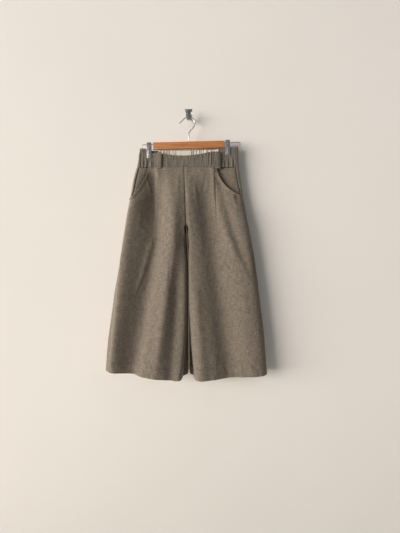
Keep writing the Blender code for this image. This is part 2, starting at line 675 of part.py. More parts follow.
garment()
hanger()
wall_hook()
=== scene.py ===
"""Culottes hung by two clips from a wooden hanger: the looks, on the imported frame."""

import functools
import math
from collections import namedtuple

import bmesh
import bpy
import numpy as np
from mathutils import Matrix, Vector, noise


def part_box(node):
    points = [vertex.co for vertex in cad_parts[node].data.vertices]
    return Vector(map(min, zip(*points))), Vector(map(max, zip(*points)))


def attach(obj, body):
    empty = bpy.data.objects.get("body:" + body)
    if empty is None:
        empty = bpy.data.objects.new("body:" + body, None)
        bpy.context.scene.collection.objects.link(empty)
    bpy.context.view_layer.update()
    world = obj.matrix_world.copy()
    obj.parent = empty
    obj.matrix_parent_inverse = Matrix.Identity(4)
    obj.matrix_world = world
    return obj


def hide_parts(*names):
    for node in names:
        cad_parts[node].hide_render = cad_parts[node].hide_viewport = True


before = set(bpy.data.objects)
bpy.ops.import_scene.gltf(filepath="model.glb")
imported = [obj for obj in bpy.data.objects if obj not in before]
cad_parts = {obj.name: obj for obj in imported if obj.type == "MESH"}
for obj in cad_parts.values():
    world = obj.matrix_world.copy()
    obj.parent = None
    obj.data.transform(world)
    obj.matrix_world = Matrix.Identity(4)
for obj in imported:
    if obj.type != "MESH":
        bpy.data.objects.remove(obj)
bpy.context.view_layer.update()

BODY = "root"
LEFT, RIGHT = -1, 1
FRONT, BACK = -1, 1
SIDES = {LEFT: "left", RIGHT: "right"}
FACES = {FRONT: "front", BACK: "back"}

# ---------------------------------------------------------------- sizes
CLOTH = 0.0011
BAND = 0.0024
LINING = 0.0009
GAP = 0.0003
MIDDLE_Y = -0.0355  # cloth before it is the front's, cloth behind it the back's
HEM_DEPTH = 0.038
HEM_EXTRA = 0.0010
HEM_RISE, HEM_STEP = 0.03, 0.003  # more than the hem rises anywhere; its turned edge's slope

WAIST_SEAM_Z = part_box("front_left")[1][2] + GAP
HEM_Z = -0.910
CROTCH_START_Z, CROTCH_Z = -0.385, -0.468
BACK_TOP_Z, SIDE_TOP_Z, FRONT_TOP_Z = -0.1264, -0.1215, -0.1370
FRONT_SAG, SAG_X, SAG_HALF_WIDTH = 0.0135, -0.018, 0.105
TOP_STEP_X, TOP_STEP_WIDTH = 0.156, 0.030  # where the top edges change height, near the sides
TOP_TILT = {FRONT: 0.012, BACK: 0.0257}
CASING_DEPTH = 0.013  # from the top edge to the casing's stitches

POCKET_TOP_X = {LEFT: -0.138, RIGHT: 0.100}
POCKET_TOP_Z = -0.195
POCKET_END_Z = {LEFT: -0.306, RIGHT: -0.290}
POCKET_CURVE = {LEFT: (1.1, 0.85), RIGHT: (1.5, 0.6)}
POCKET_LIFT, POCKET_LIFT_WIDTH = 0.0045, 0.016
FACING_LAP = 0.030
FACING_SINK = 0.0075  # how far the facing sinks behind the pocket's edge

LOOP_X = {LEFT: -0.0993, RIGHT: 0.1040}
LOOP_WIDTH, LOOP_STAND_OFF = 0.015, 0.0030
LOOP_TOP_Z, LOOP_END_Z = -0.139, -0.196

LINING_X = {LEFT: -0.106, RIGHT: 0.108}
LABEL_X = {LEFT: -0.036, RIGHT: 0.0115}
LABEL_TOP_Z, LABEL_END_Z = -0.1295, -0.1500

CLIP_X = {side: sum(p[0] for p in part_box(f"clip_{word}_front")) / 2
          for side, word in SIDES.items()}
CLIP_FLAT, CLIP_FADE = 0.0180, 0.036
CLIP_RELEASE_Z, CLIP_RELEASE = -0.160, 0.045
GRIP_Z = -0.150
CLAMPED = {FRONT: 0.0040, BACK: 0.0045}

Section = namedtuple("Section", "z left right centre mid front back fold wrap_left wrap_right")
SECTIONS = [
    Section(-0.120, -0.1690, 0.1775, -0.014, -0.035, 0.013, 0.011, 0.0000, 0.000, 0.010),
    Section(-0.155, -0.1750, 0.1745, -0.014, -0.035, 0.013, 0.011, 0.0000, 0.004, 0.013),
    Section(-0.190, -0.1812, 0.1790, -0.014, -0.035, 0.015, 0.012, 0.0000, 0.010, 0.013),
    Section(-0.225, -0.1912, 0.1840, -0.013, -0.035, 0.021, 0.014, 0.0000, 0.015, 0.012),
    Section(-0.285, -0.2000, 0.1930, -0.011, -0.036, 0.029, 0.017, 0.0000, 0.017, 0.008),
    Section(-0.345, -0.2115, 0.2030, -0.009, -0.038, 0.034, 0.019, 0.0000, 0.017, 0.007),
    Section(-0.420, -0.2228, 0.2175, -0.005, -0.040, 0.039, 0.022, 0.0000, 0.016, 0.008),
    Section(-0.520, -0.2370, 0.2345, -0.002, -0.042, 0.045, 0.024, 0.0000, 0.014, 0.010),
    Section(-0.615, -0.2530, 0.2470, 0.000, -0.043, 0.050, 0.026, 0.0008, 0.012, 0.012),
    Section(-0.715, -0.2650, 0.2590, 0.001, -0.044, 0.054, 0.027, 0.0015, 0.010, 0.013),
    Section(-0.810, -0.2775, 0.2685, 0.002, -0.045, 0.058, 0.028, 0.0080, 0.010, 0.015),
    Section(-0.910, -0.2850, 0.2765, 0.002, -0.046, 0.061, 0.029, 0.0200, 0.010, 0.016),
]
# Each face's profile: how square its outer side and its inner corner are (1 is a straight slope,
# 2 an ellipse), and how much of the width the inner corner takes where the legs are apart.
Profile = namedtuple("Profile", "outer inner corner")
PROFILES = {
    (LEFT, FRONT): Profile(3.6, 2.4, 0.035),
    (RIGHT, FRONT): Profile(1.55, 2.6, 0.05),
    (LEFT, BACK): Profile(3.0, 2.6, 0.40),
    (RIGHT, BACK): Profile(3.0, 2.6, 0.40),
}
WAIST_SQUARE = 2.6  # every face's outer side, at the waist
WAIST_FADE_Z, WAIST_FADE = -0.24, 0.06
INSEAM_SETBACK = 0.62
SECTION_BLUR = 0.025
CORNER_BLUR = 0.0048
SAMPLES = 700

# The hem's height at shares of the width from the inner edge to the side seam.
Hem = namedtuple("Hem", "inseam fold middle side_seam")
HEMS = {
    (LEFT, FRONT): Hem(-0.911, -0.925, -0.909, -0.891),
    (RIGHT, FRONT): Hem(-0.911, -0.922, -0.917, -0.909),
    (LEFT, BACK): Hem(-0.911, -0.908, -0.902, -0.891),
    (RIGHT, BACK): Hem(-0.911, -0.909, -0.910, -0.909),
}
HEM_SHARES = (0.0, 0.10, 0.50, 1.0)
HEM_BLUR = 0.05  # the share over which the hem's line is smoothed

# Folds of each leg's faces: the line each follows, how wide it is towards its left and its
# right, its height, below 0 where it sinks in, and the heights over which it fades in and out.
# The last of the left front and the first of the right front are the centre seam's groove.
Fold = namedtuple(
    "Fold", "top_x top_z bend_x bend_z end_x end_z left right height fade_in fade_out",
    defaults=(0.05, 0.05))
PAST_HEM = -1.0
FOLDS = {
    (LEFT, FRONT): [
        Fold(-0.104, -0.190, -0.112, -0.450, -0.206, PAST_HEM, 0.050, 0.026, -0.033, 0.12),
        Fold(-0.118, -0.185, -0.118, -0.300, -0.114, -0.440, 0.026, 0.008, -0.013, 0.04, 0.14),
        Fold(-0.040, -0.240, -0.050, -0.463, -0.121, PAST_HEM, 0.021, 0.021, 0.014, 0.20, 0.20),
        Fold(-0.184, -0.260, -0.222, -0.514, -0.268, PAST_HEM, 0.007, 0.029, 0.016, 0.08, 0.15),
        Fold(-0.116, -0.420, -0.146, -0.530, -0.174, -0.640, 0.010, 0.009, 0.006),
        Fold(-0.034, -0.500, -0.042, -0.700, -0.062, PAST_HEM, 0.016, 0.013, -0.009, 0.14),
        Fold(-0.013, -0.200, -0.008, -0.400, -0.006, -0.520, 0.028, 0.007, -0.007, 0.10, 0.06),
    ],
    (RIGHT, FRONT): [
        Fold(-0.013, -0.200, -0.008, -0.400, -0.006, -0.520, 0.007, 0.007, -0.007, 0.10, 0.06),
        Fold(0.050, -0.200, 0.079, -0.412, 0.160, PAST_HEM, 0.042, 0.048, -0.025, 0.12),
        Fold(0.092, -0.280, 0.128, -0.412, 0.172, -0.530, 0.014, 0.012, 0.005, 0.05, 0.06),
        Fold(0.100, -0.205, 0.156, -0.412, 0.222, -0.600, 0.011, 0.016, -0.0045, 0.05, 0.10),
        Fold(0.020, -0.560, 0.036, -0.720, 0.056, PAST_HEM, 0.018, 0.018, 0.008, 0.12),
        Fold(0.180, -0.280, 0.204, -0.420, 0.266, PAST_HEM, 0.046, 0.020, 0.010, 0.10),
    ],
    (LEFT, BACK): [
        Fold(-0.060, -0.200, -0.085, -0.500, -0.110, PAST_HEM, 0.024, 0.024, -0.009),
        Fold(-0.140, -0.300, -0.180, -0.600, -0.200, PAST_HEM, 0.026, 0.026, -0.008),
    ],
    (RIGHT, BACK): [
        Fold(0.050, -0.220, 0.070, -0.520, 0.080, PAST_HEM, 0.024, 0.024, -0.008),
        Fold(0.125, -0.260, 0.160, -0.560, 0.190, PAST_HEM, 0.028, 0.028, -0.007),
    ],
}
SEAM_CALM = 0.020

Pleat = namedtuple("Pleat", "side top_x end_x end_z height")
PLEATS = [
    Pleat(LEFT, -0.1035, -0.1070, -0.480, 0.0070),
    Pleat(RIGHT, 0.0900, 0.0960, -0.400, 0.0065),
]
PLEAT_RISE, PLEAT_DROP = 0.014, 0.0022
PLEAT_START = 0.05


# ---------------------------------------------------------------- the garment's form
def ease(value):
    t = np.clip(value, 0.0, 1.0)
    return t * t * (3 - 2 * t)


@functools.lru_cache(maxsize=None)
def section(z):
    heights = [-row.z for row in SECTIONS]
    around = np.linspace(-SECTION_BLUR, SECTION_BLUR, 5) - z
    return Section(z, *(float(np.mean(np.interp(around, heights, [row[i] for row in SECTIONS])))
                        for i in range(1, len(Section._fields))))


def outline(side, z):
    row = section(z)
    return row.left if side == LEFT else row.right


def legs_apart(z):
    """0 above the crotch curve, 1 where the legs are two tubes."""
    return float(ease((CROTCH_START_Z - z) / (CROTCH_START_Z - CROTCH_Z)))


def spaced(points, count):
    steps = np.hypot(*np.diff(points, axis=0).T)
    along = np.concatenate([[0.0], np.cumsum(steps)])
    keep = np.concatenate([[True], steps > 1e-9])
    even = np.linspace(0.0, along[-1], count)
    return np.column_stack([np.interp(even, along[keep], points[keep, i]) for i in (0, 1)])


def softened(points, width, closed=False):
    """Corners rounded over a width, in metres, on a line of evenly spaced points."""
    step = np.hypot(*(points[1:] - points[:-1]).T).mean()
    spread = max(width / step, 0.6)
    reach = int(math.ceil(3 * spread))
    weights = np.exp(-0.5 * (np.arange(-reach, reach + 1) / spread) ** 2)
    weights /= weights.sum()
    if closed:
        padded = np.vstack([points[-reach - 1:-1], points, points[1:reach + 1]])
    else:
        padded = np.vstack([2 * points[0] - points[reach:0:-1], points,
                            2 * points[-1] - points[-2:-reach - 2:-1]])
    return np.column_stack([np.convolve(padded[:, i], weights, "valid") for i in (0, 1)])


def normals(points, closed=False):
    along = np.gradient(points, axis=0)
    if closed:
        along[0] = along[-1] = points[1] - points[-2]
    along /= np.maximum(np.hypot(*along.T), 1e-12)[:, None]
    return np.column_stack([along[:, 1], -along[:, 0]])


def pinch(x, z):
    off = np.minimum(np.abs(x - CLIP_X[LEFT]), np.abs(x - CLIP_X[RIGHT]))
    across = 1 - ease((off - CLIP_FLAT) / (CLIP_FADE - CLIP_FLAT))
    return across * (1 - ease((CLIP_RELEASE_Z - z) / CLIP_RELEASE))


def fold_height(side, face, x, z):
    """How far the folds and pleats move points of a panel outwards."""
    total = np.zeros_like(x)
    for fold in FOLDS[side, face]:
        if not fold.end_z < z < fold.top_z:
            continue
        at = np.interp(-z, [-fold.top_z, -fold.bend_z, -fold.end_z],
                       [fold.top_x, fold.bend_x, fold.end_x])
        ends = ease((fold.top_z - z) / fold.fade_in) * ease((z - fold.end_z) / fold.fade_out)
        off = x - at
        width = np.where(off < 0, fold.left, fold.right)
        total += fold.height * ends * np.exp(-((off / width) ** 2))
    for pleat in PLEATS:
        share = (WAIST_SEAM_Z - z) / (WAIST_SEAM_Z - pleat.end_z)
        if (pleat.side, FRONT) != (side, face) or not 0 <= share < 1:
            continue
        out = x - (pleat.top_x + (pleat.end_x - pleat.top_x) * share)
        rise = np.where(out < 0, ease(1 + out / PLEAT_RISE), ease(1 - out / PLEAT_DROP))
        total += pleat.height * rise * ease(share / PLEAT_START) * (1 - ease(share))
    return total


def face_curve(side, face, z):
    """One face of one leg at height z, from the side to the inner edge, with its folds."""
    row = section(z)
    legs = legs_apart(z)
    outer, inner = outline(side, z), row.centre + side * GAP
    kept_off = row.fold if face == FRONT else 0.0
    shape = PROFILES[side, face]
    square = shape.outer + (WAIST_SQUARE - shape.outer) * float(ease((z - WAIST_FADE_Z) / WAIST_FADE))
    share = 0.5 + 0.5 * np.cos(np.linspace(0.0, math.pi, SAMPLES))
    folded = inner + side * kept_off
    x = folded + (outer - folded) * share
    rise = (1 - share ** square) ** (1 / square)
    corner = np.clip(1 - share / shape.corner, 0.0, 1.0)
    rise *= 1 - legs * (1 - (1 - corner ** shape.inner) ** (1 / shape.inner))
    depth = (row.front if face == FRONT else row.back) * rise
    depth += pinch(x, z) * (np.minimum(depth, CLAMPED[face]) - depth)
    y = row.mid + legs * INSEAM_SETBACK * row.back * (1 - share) ** 2 + face * depth
    points = np.column_stack([x, y])
    if kept_off > 1e-4:
        run = np.linspace(folded, inner, 20)[1:]
        points = np.vstack([points, np.column_stack([run, np.full(len(run), y[-1])])])
    points = softened(spaced(points, SAMPLES), CORNER_BLUR * 0.6)
    along = np.linspace(0, 1, SAMPLES)
    calm = ease(np.minimum(along, 1 - along) * abs(outer - inner) / SEAM_CALM)
    calm = np.where(along > 0.5, np.maximum(calm, 1 - legs), calm)
    moved = fold_height(side, face, points[:, 0], z) * calm
    return points + normals(points) * (side * face) * moved[:, None]


@functools.lru_cache(maxsize=None)
def girth(side, z):
    """One leg's section as (lengths, points, normals), from the back's inner edge round the
    outline's outer edge, at length 0, to the front's."""
    front, back = face_curve(side, FRONT, z), face_curve(side, BACK, z)
    closed = z <= CROTCH_Z
    points = softened(np.vstack([back[::-1], front[1:]]), CORNER_BLUR, closed)
    steps = np.hypot(*np.diff(points, axis=0).T)
    lengths = np.concatenate([[0.0], np.cumsum(steps)])
    lengths -= lengths[len(back) - 1]
    return lengths, points, normals(points, closed) * -side


def place(side, length, z, inwards):
    """Points at lengths round the section at height z, moved in from the outer face."""
    lengths, points, away = girth(side, z)
    at = [np.interp(length, lengths, points[:, i]) for i in (0, 1)]
    out = [np.interp(length, lengths, away[:, i]) for i in (0, 1)]
    return at[0] - out[0] * inwards, at[1] - out[1] * inwards


def length_at(side, face, x, z):
    lengths, points, _ = girth(side, z)
    on_face = lengths * -face >= 0
    order = np.argsort(points[on_face, 0])
    return np.interp(x, points[on_face, 0][order], lengths[on_face][order])


def side_seam(side, z):
    """How far round the outline's outer edge, towards the front, the side seam lies."""
    return section(z).wrap_left if side == LEFT else section(z).wrap_right


def hem_height(side, face, x):
    share = (x - section(HEM_Z).centre) / (outline(side, HEM_Z) - section(HEM_Z).centre)
    near = [np.interp(share + shift, HEM_SHARES, HEMS[side, face])
            for shift in (-HEM_BLUR, 0.0, HEM_BLUR)]
    return sum(near) / len(near)


def pocket_edge(side, z):
    """Where the pocket's curved opening crosses height z, or None below it."""
    share = (POCKET_TOP_Z - z) / (POCKET_TOP_Z - POCKET_END_Z[side])
    if share >= 1:
        return None
    start, end = POCKET_CURVE[side]
    curve = 1 - (1 - max(share, 0.0) ** start) ** end
    return POCKET_TOP_X[side] + (outline(side, z) - POCKET_TOP_X[side]) * curve


def top_edge(face, x):
    tilt = TOP_TILT[face] * x
    off = np.abs(x - (CLIP_X[LEFT] + CLIP_X[RIGHT]) / 2)
    inside = ease((TOP_STEP_X - off) / TOP_STEP_WIDTH)
    if face == BACK:
        return SIDE_TOP_Z + (BACK_TOP_Z - SIDE_TOP_Z) * inside + tilt
    dip = np.maximum(0.0, 1 - ((x - SAG_X) / SAG_HALF_WIDTH) ** 2) ** 1.3
    return SIDE_TOP_Z + (FRONT_TOP_Z - SIDE_TOP_Z) * inside - FRONT_SAG * dip + tilt


# ---------------------------------------------------------------- making pieces
def finished(piece, replaces=()):
    """The piece rides on the body and stands for the CAD nodes it replaces, which are hidden."""
    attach(piece, BODY)
    if replaces:
        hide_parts(*replaces)
    return piece


def linked(name, data):
    made = bpy.data.objects.new(name, data)
    bpy.context.scene.collection.objects.link(made)
    return made


def object_from(bm, name, finish):
    bmesh.ops.recalc_face_normals(bm, faces=bm.faces)
    mesh = bpy.data.meshes.new(name)
    bm.to_mesh(mesh)
    bm.free()
    mesh.materials.append(finish)
    mesh.shade_smooth()
    mesh.set_sharp_from_angle(angle=math.radians(38))
    return linked(name, mesh)


def cloth_sheet(name, columns, rows, lay, thickness, finish):
    """A cloth piece: a grid laid row by row on lay(down, across) -> x, y, z, u, v arrays,
    with u and v in metres along the cloth, and thickness given to it inwards."""
    bm = bmesh.new()
    bmesh.ops.create_grid(bm, x_segments=columns, y_segments=rows, size=0.5)
    mesh = bpy.data.meshes.new(name)
    bm.to_mesh(mesh)
    bm.free()
    flat = np.empty(len(mesh.vertices) * 3)
    mesh.vertices.foreach_get("co", flat)
    flat = flat.reshape(-1, 3)
    down, across = np.round((0.5 - flat[:, 1]) * rows).astype(int), flat[:, 0] + 0.5
    points, cut = np.empty_like(flat), np.empty((len(flat), 2))
    for row in range(rows + 1):
        here = np.flatnonzero(down == row)
        here = here[np.argsort(across[here])]
        x, y, z, u, v = lay(row / rows, across[here])
        points[here] = np.column_stack([x, y, z])
        cut[here] = np.column_stack([u, v])
    mesh.vertices.foreach_set("co", points.ravel())
    corners = np.empty(len(mesh.loops), int)
    mesh.loops.foreach_get("vertex_index", corners)
    mesh.uv_layers.new(name="cut").data.foreach_set("uv", cut[corners].ravel())
    mesh.materials.append(finish)
    mesh.shade_smooth()
    mesh.update()
    piece = linked(name, mesh)
    outward = sum(p.normal.y * p.area for p in mesh.polygons)
    wanted = FRONT if np.mean(points[:, 1]) < MIDDLE_Y else BACK
    if outward * wanted < 0:
        mesh.flip_normals()
    wall = piece.modifiers.new("wall", "SOLIDIFY")
    wall.thickness = thickness
    wall.offset = -1
    return piece


def uneven(x, z, width, height, start):
    """Soft unevenness from -1 to 1, in patches of about a width and a height."""
    return np.array([noise.noise(Vector((a / width, b / height, start)))
                     for a, b in zip(np.broadcast_to(x, np.shape(z) or np.shape(x)),
                                     np.broadcast_to(z, np.shape(x)))])


def dent(distance, depth, width):
    return depth * np.exp(-((distance / width) ** 2))


# ---------------------------------------------------------------- the leg panels
PANEL_COLUMNS = {FRONT: 156, BACK: 96}
ROWS_BY_POCKET, ROWS_BELOW, ROWS_IN_HEM = 64, 176, 16
PANEL_ROWS = ROWS_BY_POCKET + ROWS_BELOW + ROWS_IN_HEM
ROW_CROWDING = {FRONT: 1.6, BACK: 1.0}
SEAM_DENT, SEAM_DENT_WIDTH = 0.0009, 0.0028
HEM_DENT, HEM_DENT_WIDTH = 0.0013, 0.0024
PUCKER, PUCKER_WIDTH = 0.0017, 0.012
RUMPLE, CRINKLE = 0.0013, 0.00050
RUMPLE_SIZE, CRINKLE_SIZE = (0.045, 0.110), (0.013, 0.030)  # across and down
PUCKER_REACH = 0.014
DROP_START_Z = -0.55  # below it the cloth follows the hem's uneven line
POCKET_TOPSTITCH = 0.0065  # from the pocket's edge in to its stitches

# Creases of each leg's faces, straight lines with a width and a height. The last of each front
# is the line of its pressed pleat.
Crease = namedtuple("Crease", "top_x top_z end_x end_z width height")
CREASES = {
    (LEFT, FRONT): [
        Crease(-0.055, -0.475, -0.066, -0.610, 0.005, -0.0014),
        Crease(-0.145, -0.560, -0.175, -0.640, 0.004, -0.0020),
        Crease(-0.160, -0.330, -0.170, -0.420, 0.006, 0.0014),
        Crease(-0.030, -0.200, -0.036, -0.290, 0.006, 0.0012),
        Crease(-0.078, -0.205, -0.088, -0.300, 0.006, -0.0012),
        Crease(-0.150, -0.210, -0.128, -0.290, 0.005, 0.0016),
        Crease(-0.160, -0.690, -0.172, -0.820, 0.008, 0.0012),
        Crease(-0.1030, -0.197, -0.1085, -0.450, 0.0024, -0.0024),
    ],
    (RIGHT, FRONT): [
        Crease(0.124, -0.505, 0.150, -0.548, 0.006, -0.0022),
        Crease(0.136, -0.790, 0.186, -0.778, 0.006, -0.0014),
        Crease(0.185, -0.600, 0.205, -0.720, 0.010, 0.0012),
        Crease(0.022, -0.240, 0.030, -0.330, 0.006, 0.0016),
        Crease(0.062, -0.215, 0.048, -0.290, 0.005, -0.0014),
        Crease(0.150, -0.250, 0.172, -0.360, 0.007, 0.0014),
        Crease(0.0925, -0.197, 0.1000, -0.400, 0.0022, -0.0024),
    ],
    (LEFT, BACK): [
        Crease(-0.045, -0.230, -0.060, -0.380, 0.007, 0.0018),
        Crease(-0.110, -0.210, -0.118, -0.300, 0.006, -0.0016),
        Crease(-0.120, -0.560, -0.185, -0.690, 0.006, -0.0020),
        Crease(-0.050, -0.640, -0.085, -0.820, 0.009, 0.0018),
    ],
    (RIGHT, BACK): [
        Crease(0.030, -0.215, 0.052, -0.330, 0.006, -0.0018),
        Crease(0.095, -0.240, 0.120, -0.410, 0.008, 0.0020),
        Crease(0.140, -0.520, 0.178, -0.600, 0.006, -0.0018),
        Crease(0.040, -0.700, 0.060, -0.850, 0.009, 0.0016),
    ],
}


def crease_height(side, face, x, z):
    total = np.zeros_like(x)
    for crease in CREASES[side, face]:
        run_x, run_z = crease.end_x - crease.top_x, crease.end_z - crease.top_z
        length = math.hypot(run_x, run_z)
        along = ((x - crease.top_x) * run_x + (z - crease.top_z) * run_z) / length ** 2
        off = ((x - crease.top_x) * run_z - (z - crease.top_z) * run_x) / length
        ends = ease(2 * np.minimum(along, 1 - along) + 0.2)
        total += crease.height * ends * np.exp(-((off / crease.width) ** 2))
    return total


def panel_height(side, face, down):
    row = round(down * PANEL_ROWS)
    top = WAIST_SEAM_Z - GAP
    end = POCKET_END_Z[side]
    if row <= ROWS_BY_POCKET:
        return top + (end - top) * (1 - (1 - row / ROWS_BY_POCKET) ** ROW_CROWDING[face])
    marks = [ROWS_BY_POCKET, ROWS_BY_POCKET + ROWS_BELOW, PANEL_ROWS]
    return float(np.interp(row, marks, [end, HEM_Z + HEM_DEPTH, HEM_Z]))


def panel_ends(side, face, z):
    """The lengths round the section where a panel starts, at the side, and ends, at the centre."""
    lengths = girth(side, z)[0]
    seam = side_seam(side, z)
    if face == BACK:
        return seam - GAP / 2, lengths[0] + GAP
    edge = pocket_edge(side, z)
    start = seam + GAP if edge is None else length_at(side, FRONT, edge, z)
    return max(start, seam + GAP), lengths[-1] - GAP


def panel_point(side, face, length, z, outwards=0.0):
    """Points of a finished panel at lengths round the section, the hem's rise included."""
    start, end = panel_ends(side, face, z)
    x, _ = place(side, length, z, 0.0)
    hem_top = HEM_Z + HEM_DEPTH
    seed = side * 3.7 + face * 9.1
    relief = RUMPLE * uneven(x, z, *RUMPLE_SIZE, seed) + CRINKLE * uneven(x, z, *CRINKLE_SIZE, seed)
    relief -= dent(length - end, SEAM_DENT, SEAM_DENT_WIDTH)
    relief -= dent(z - WAIST_SEAM_Z, SEAM_DENT, SEAM_DENT_WIDTH)
    relief -= dent(z - hem_top, HEM_DENT, HEM_DENT_WIDTH)
    near_hem = dent(z - hem_top, PUCKER, PUCKER_REACH) + dent(z - HEM_Z, PUCKER, PUCKER_REACH)
    relief += near_hem * uneven(x + 0.25 * (z - hem_top), z, PUCKER_WIDTH, 0.09, seed + 5)
    relief += crease_height(side, face, x, z)
    if face == FRONT and z > POCKET_END_Z[side]:
        below = 1 - ease((z - WAIST_SEAM_Z + 0.045) / 0.040)
        relief += POCKET_LIFT * below * (1 - ease((length - start) * (-face) / POCKET_LIFT_WIDTH))
        relief -= dent(length - start - POCKET_TOPSTITCH, 0.0004, 0.0012)
    else:
        relief -= dent(length - start, SEAM_DENT, SEAM_DENT_WIDTH)
    x, y = place(side, length, z, -(relief + outwards))
    drop = ease((DROP_START_Z - z) / (DROP_START_Z - HEM_Z))
    rise = (hem_height(side, face, x) - HEM_Z) * drop
    return x, y, z + rise


def panel(side, face, finish):
    name = f"{FACES[face]}_{SIDES[side]}"

    def lay(down, across):
        z = panel_height(side, face, down)
        start, end = panel_ends(side, face, z)
        length = start + (end - start) * across
        x, y, height = panel_point(side, face, length, z)
        return x, y, height, length, np.full_like(x, z)

    piece = cloth_sheet(f"{name}_cloth", PANEL_COLUMNS[face], PANEL_ROWS, lay, CLOTH, finish)
    thicker = piece.vertex_groups.new(name="turned_hem")
    for vert in piece.data.vertices:
        in_hem = 0.0
        if vert.co.z < HEM_Z + HEM_DEPTH + HEM_RISE:
            line = hem_height(side, face, np.array([vert.co.x]))[0] + HEM_DEPTH
            in_hem = float(ease((line - vert.co.z) / HEM_STEP))
        thicker.add([vert.index], in_hem, "REPLACE")
    wall = piece.modifiers["wall"]
    wall.vertex_group = thicker.name
    wall.thickness = CLOTH + HEM_EXTRA
    wall.thickness_vertex_group = CLOTH / (CLOTH + HEM_EXTRA)
    finished(piece, [name])
    return piece


# ---------------------------------------------------------------- the waist
BAND_COLUMNS, BAND_ROWS = 420, 30
CASING_DENT, CASING_DENT_WIDTH = 0.0007, 0.0018
EDGE_DENT, EDGE_DENT_WIDTH = 0.0006, 0.0012
BAND_RIPPLE, BAND_SHIRR, CASING_SHIRR = 0.0004, 0.0005, 0.0007
SIDE_SHIRR, SIDE_SHIRR_START, SIDE_SHIRR_FADE = 0.0019, 0.075, 0.04
BACK_SHIRR = 0.0011

Gather = namedtuple("Gather", "x top end width height")
GATHERS = [
    Gather(-0.1640, 0.10, 1.00, 0.0022, -0.0030),
    Gather(-0.1590, 0.00, 0.80, 0.0028, 0.0020),
    Gather(-0.1535, 0.20, 1.00, 0.0024, -0.0032),
    Gather(-0.1460, 0.45, 1.00, 0.0024, 0.0022),
    Gather(-0.1400, 0.50, 1.00, 0.0020, -0.0026),
    Gather(-0.1300, 0.10, 1.00, 0.0030, 0.0026),
    Gather(-0.1180, 0.00, 1.00, 0.0026, -0.0022),
    Gather(-0.1110, 0.10, 1.00, 0.0022, -0.0012),
    Gather(-0.0885, 0.00, 1.00, 0.0016, -0.0020),
    Gather(-0.0720, 0.20, 0.90, 0.0060, 0.0008),
    Gather(-0.0300, 0.30, 1.00, 0.0070, -0.0007),
    Gather(0.0180, 0.10, 0.90, 0.0080, 0.0007),
    Gather(0.0560, 0.20, 1.00, 0.0060, -0.0009),
    Gather(0.0735, 0.00, 0.75, 0.0016, -0.0020),
    Gather(0.0790, 0.10, 0.85, 0.0020, 0.0014),
    Gather(0.0835, 0.00, 0.80, 0.0014, -0.0018),
    Gather(0.0885, 0.15, 0.70, 0.0018, -0.0012),
    Gather(0.1175, 0.00, 1.00, 0.0020, -0.0018),
    Gather(0.1230, 0.10, 1.00, 0.0026, 0.0022),
    Gather(0.1300, 0.40, 1.00, 0.0022, -0.0024),
    Gather(0.1430, 0.10, 1.00, 0.0026, -0.0034),
    Gather(0.1530, 0.00, 1.00, 0.0030, 0.0026),
    Gather(0.1590, 0.00, 1.00, 0.0022, -0.0034),
]


def free_of_clips(x, down):
    """1 where the band is free, less where the clips press it, which eases below them."""
    return 1 - pinch(x, GRIP_Z) * (1 - 0.75 * ease((down - 0.40) / 0.35))


def gather_height(x, down):
    total = np.zeros_like(x)
    for gather in GATHERS:
        ends = ease((down - gather.top + 0.15) / 0.2) * ease((gather.end - down + 0.15) / 0.2)
        total += gather.height * ends * np.exp(-(((x - gather.x) / gather.width) ** 2))
    return total * free_of_clips(x, down)


def shirring(x, z, start, fineness=0.0045):
    """The close uneven gathers of elasticated cloth, from -1 to 1."""
    return (uneven(x, z, fineness, 0.05, start) * 1.1
            + 0.5 * uneven(x, z, fineness * 0.45, 0.03, start + 4))


def waist_points(face, positions, z, outwards):
    x, y = np.empty_like(positions), np.empty_like(positions)
    out = np.broadcast_to(outwards, positions.shape)
    for side in (LEFT, RIGHT):
        mine = (positions < 0) == (side == LEFT)
        lengths = girth(side, z)[0]
        reach = abs(lengths[-1] if face == FRONT else lengths[0])
        length = -face * np.maximum(reach * (1 - np.abs(positions[mine])), GAP)
        x[mine], y[mine] = place(side, length, z, -out[mine])
    return x, y


def band_point(face, positions, down, outwards=0.0):
    z = SIDE_TOP_Z + (WAIST_SEAM_Z - SIDE_TOP_Z) * down
    x, _ = waist_points(face, positions, z, 0.0)
    top = top_edge(face, x)
    below_top = down * (top - WAIST_SEAM_Z)
    relief = -dent(below_top - CASING_DEPTH, CASING_DENT, CASING_DENT_WIDTH)
    relief -= dent((1 - down) * (top - WAIST_SEAM_Z), SEAM_DENT, SEAM_DENT_WIDTH)
    relief -= dent(below_top, EDGE_DENT, EDGE_DENT_WIDTH)
    free = free_of_clips(x, down)
    if face == FRONT:
        relief += gather_height(x, down) + BAND_RIPPLE * uneven(x, z, 0.012, 0.02, 3.3) * free
        casing = ease((0.30 - down) / 0.12)
        relief += (BAND_SHIRR + CASING_SHIRR * casing) * shirring(x, z, 8.1) * free
        beside = ease((np.abs(x) - SIDE_SHIRR_START) / SIDE_SHIRR_FADE)
        relief += SIDE_SHIRR * shirring(x, z, 5.4, 0.007) * free * beside
    else:
        relief += BACK_SHIRR * shirring(x, z, 2.2) * free
    x, y = waist_points(face, positions, z, relief + outwards)
    return x, y, z + (top - SIDE_TOP_Z) * (1 - down)


def waistband(face, finish):
    def lay(down, across):
        positions = 2 * across - 1
        x, y, z = band_point(face, positions, down)
        return x, y, z, x, z

    name = f"waistband_{FACES[face]}"
    piece = cloth_sheet(f"{name}_cloth", BAND_COLUMNS, BAND_ROWS, lay, BAND, finish)
    return finished(piece, [name])


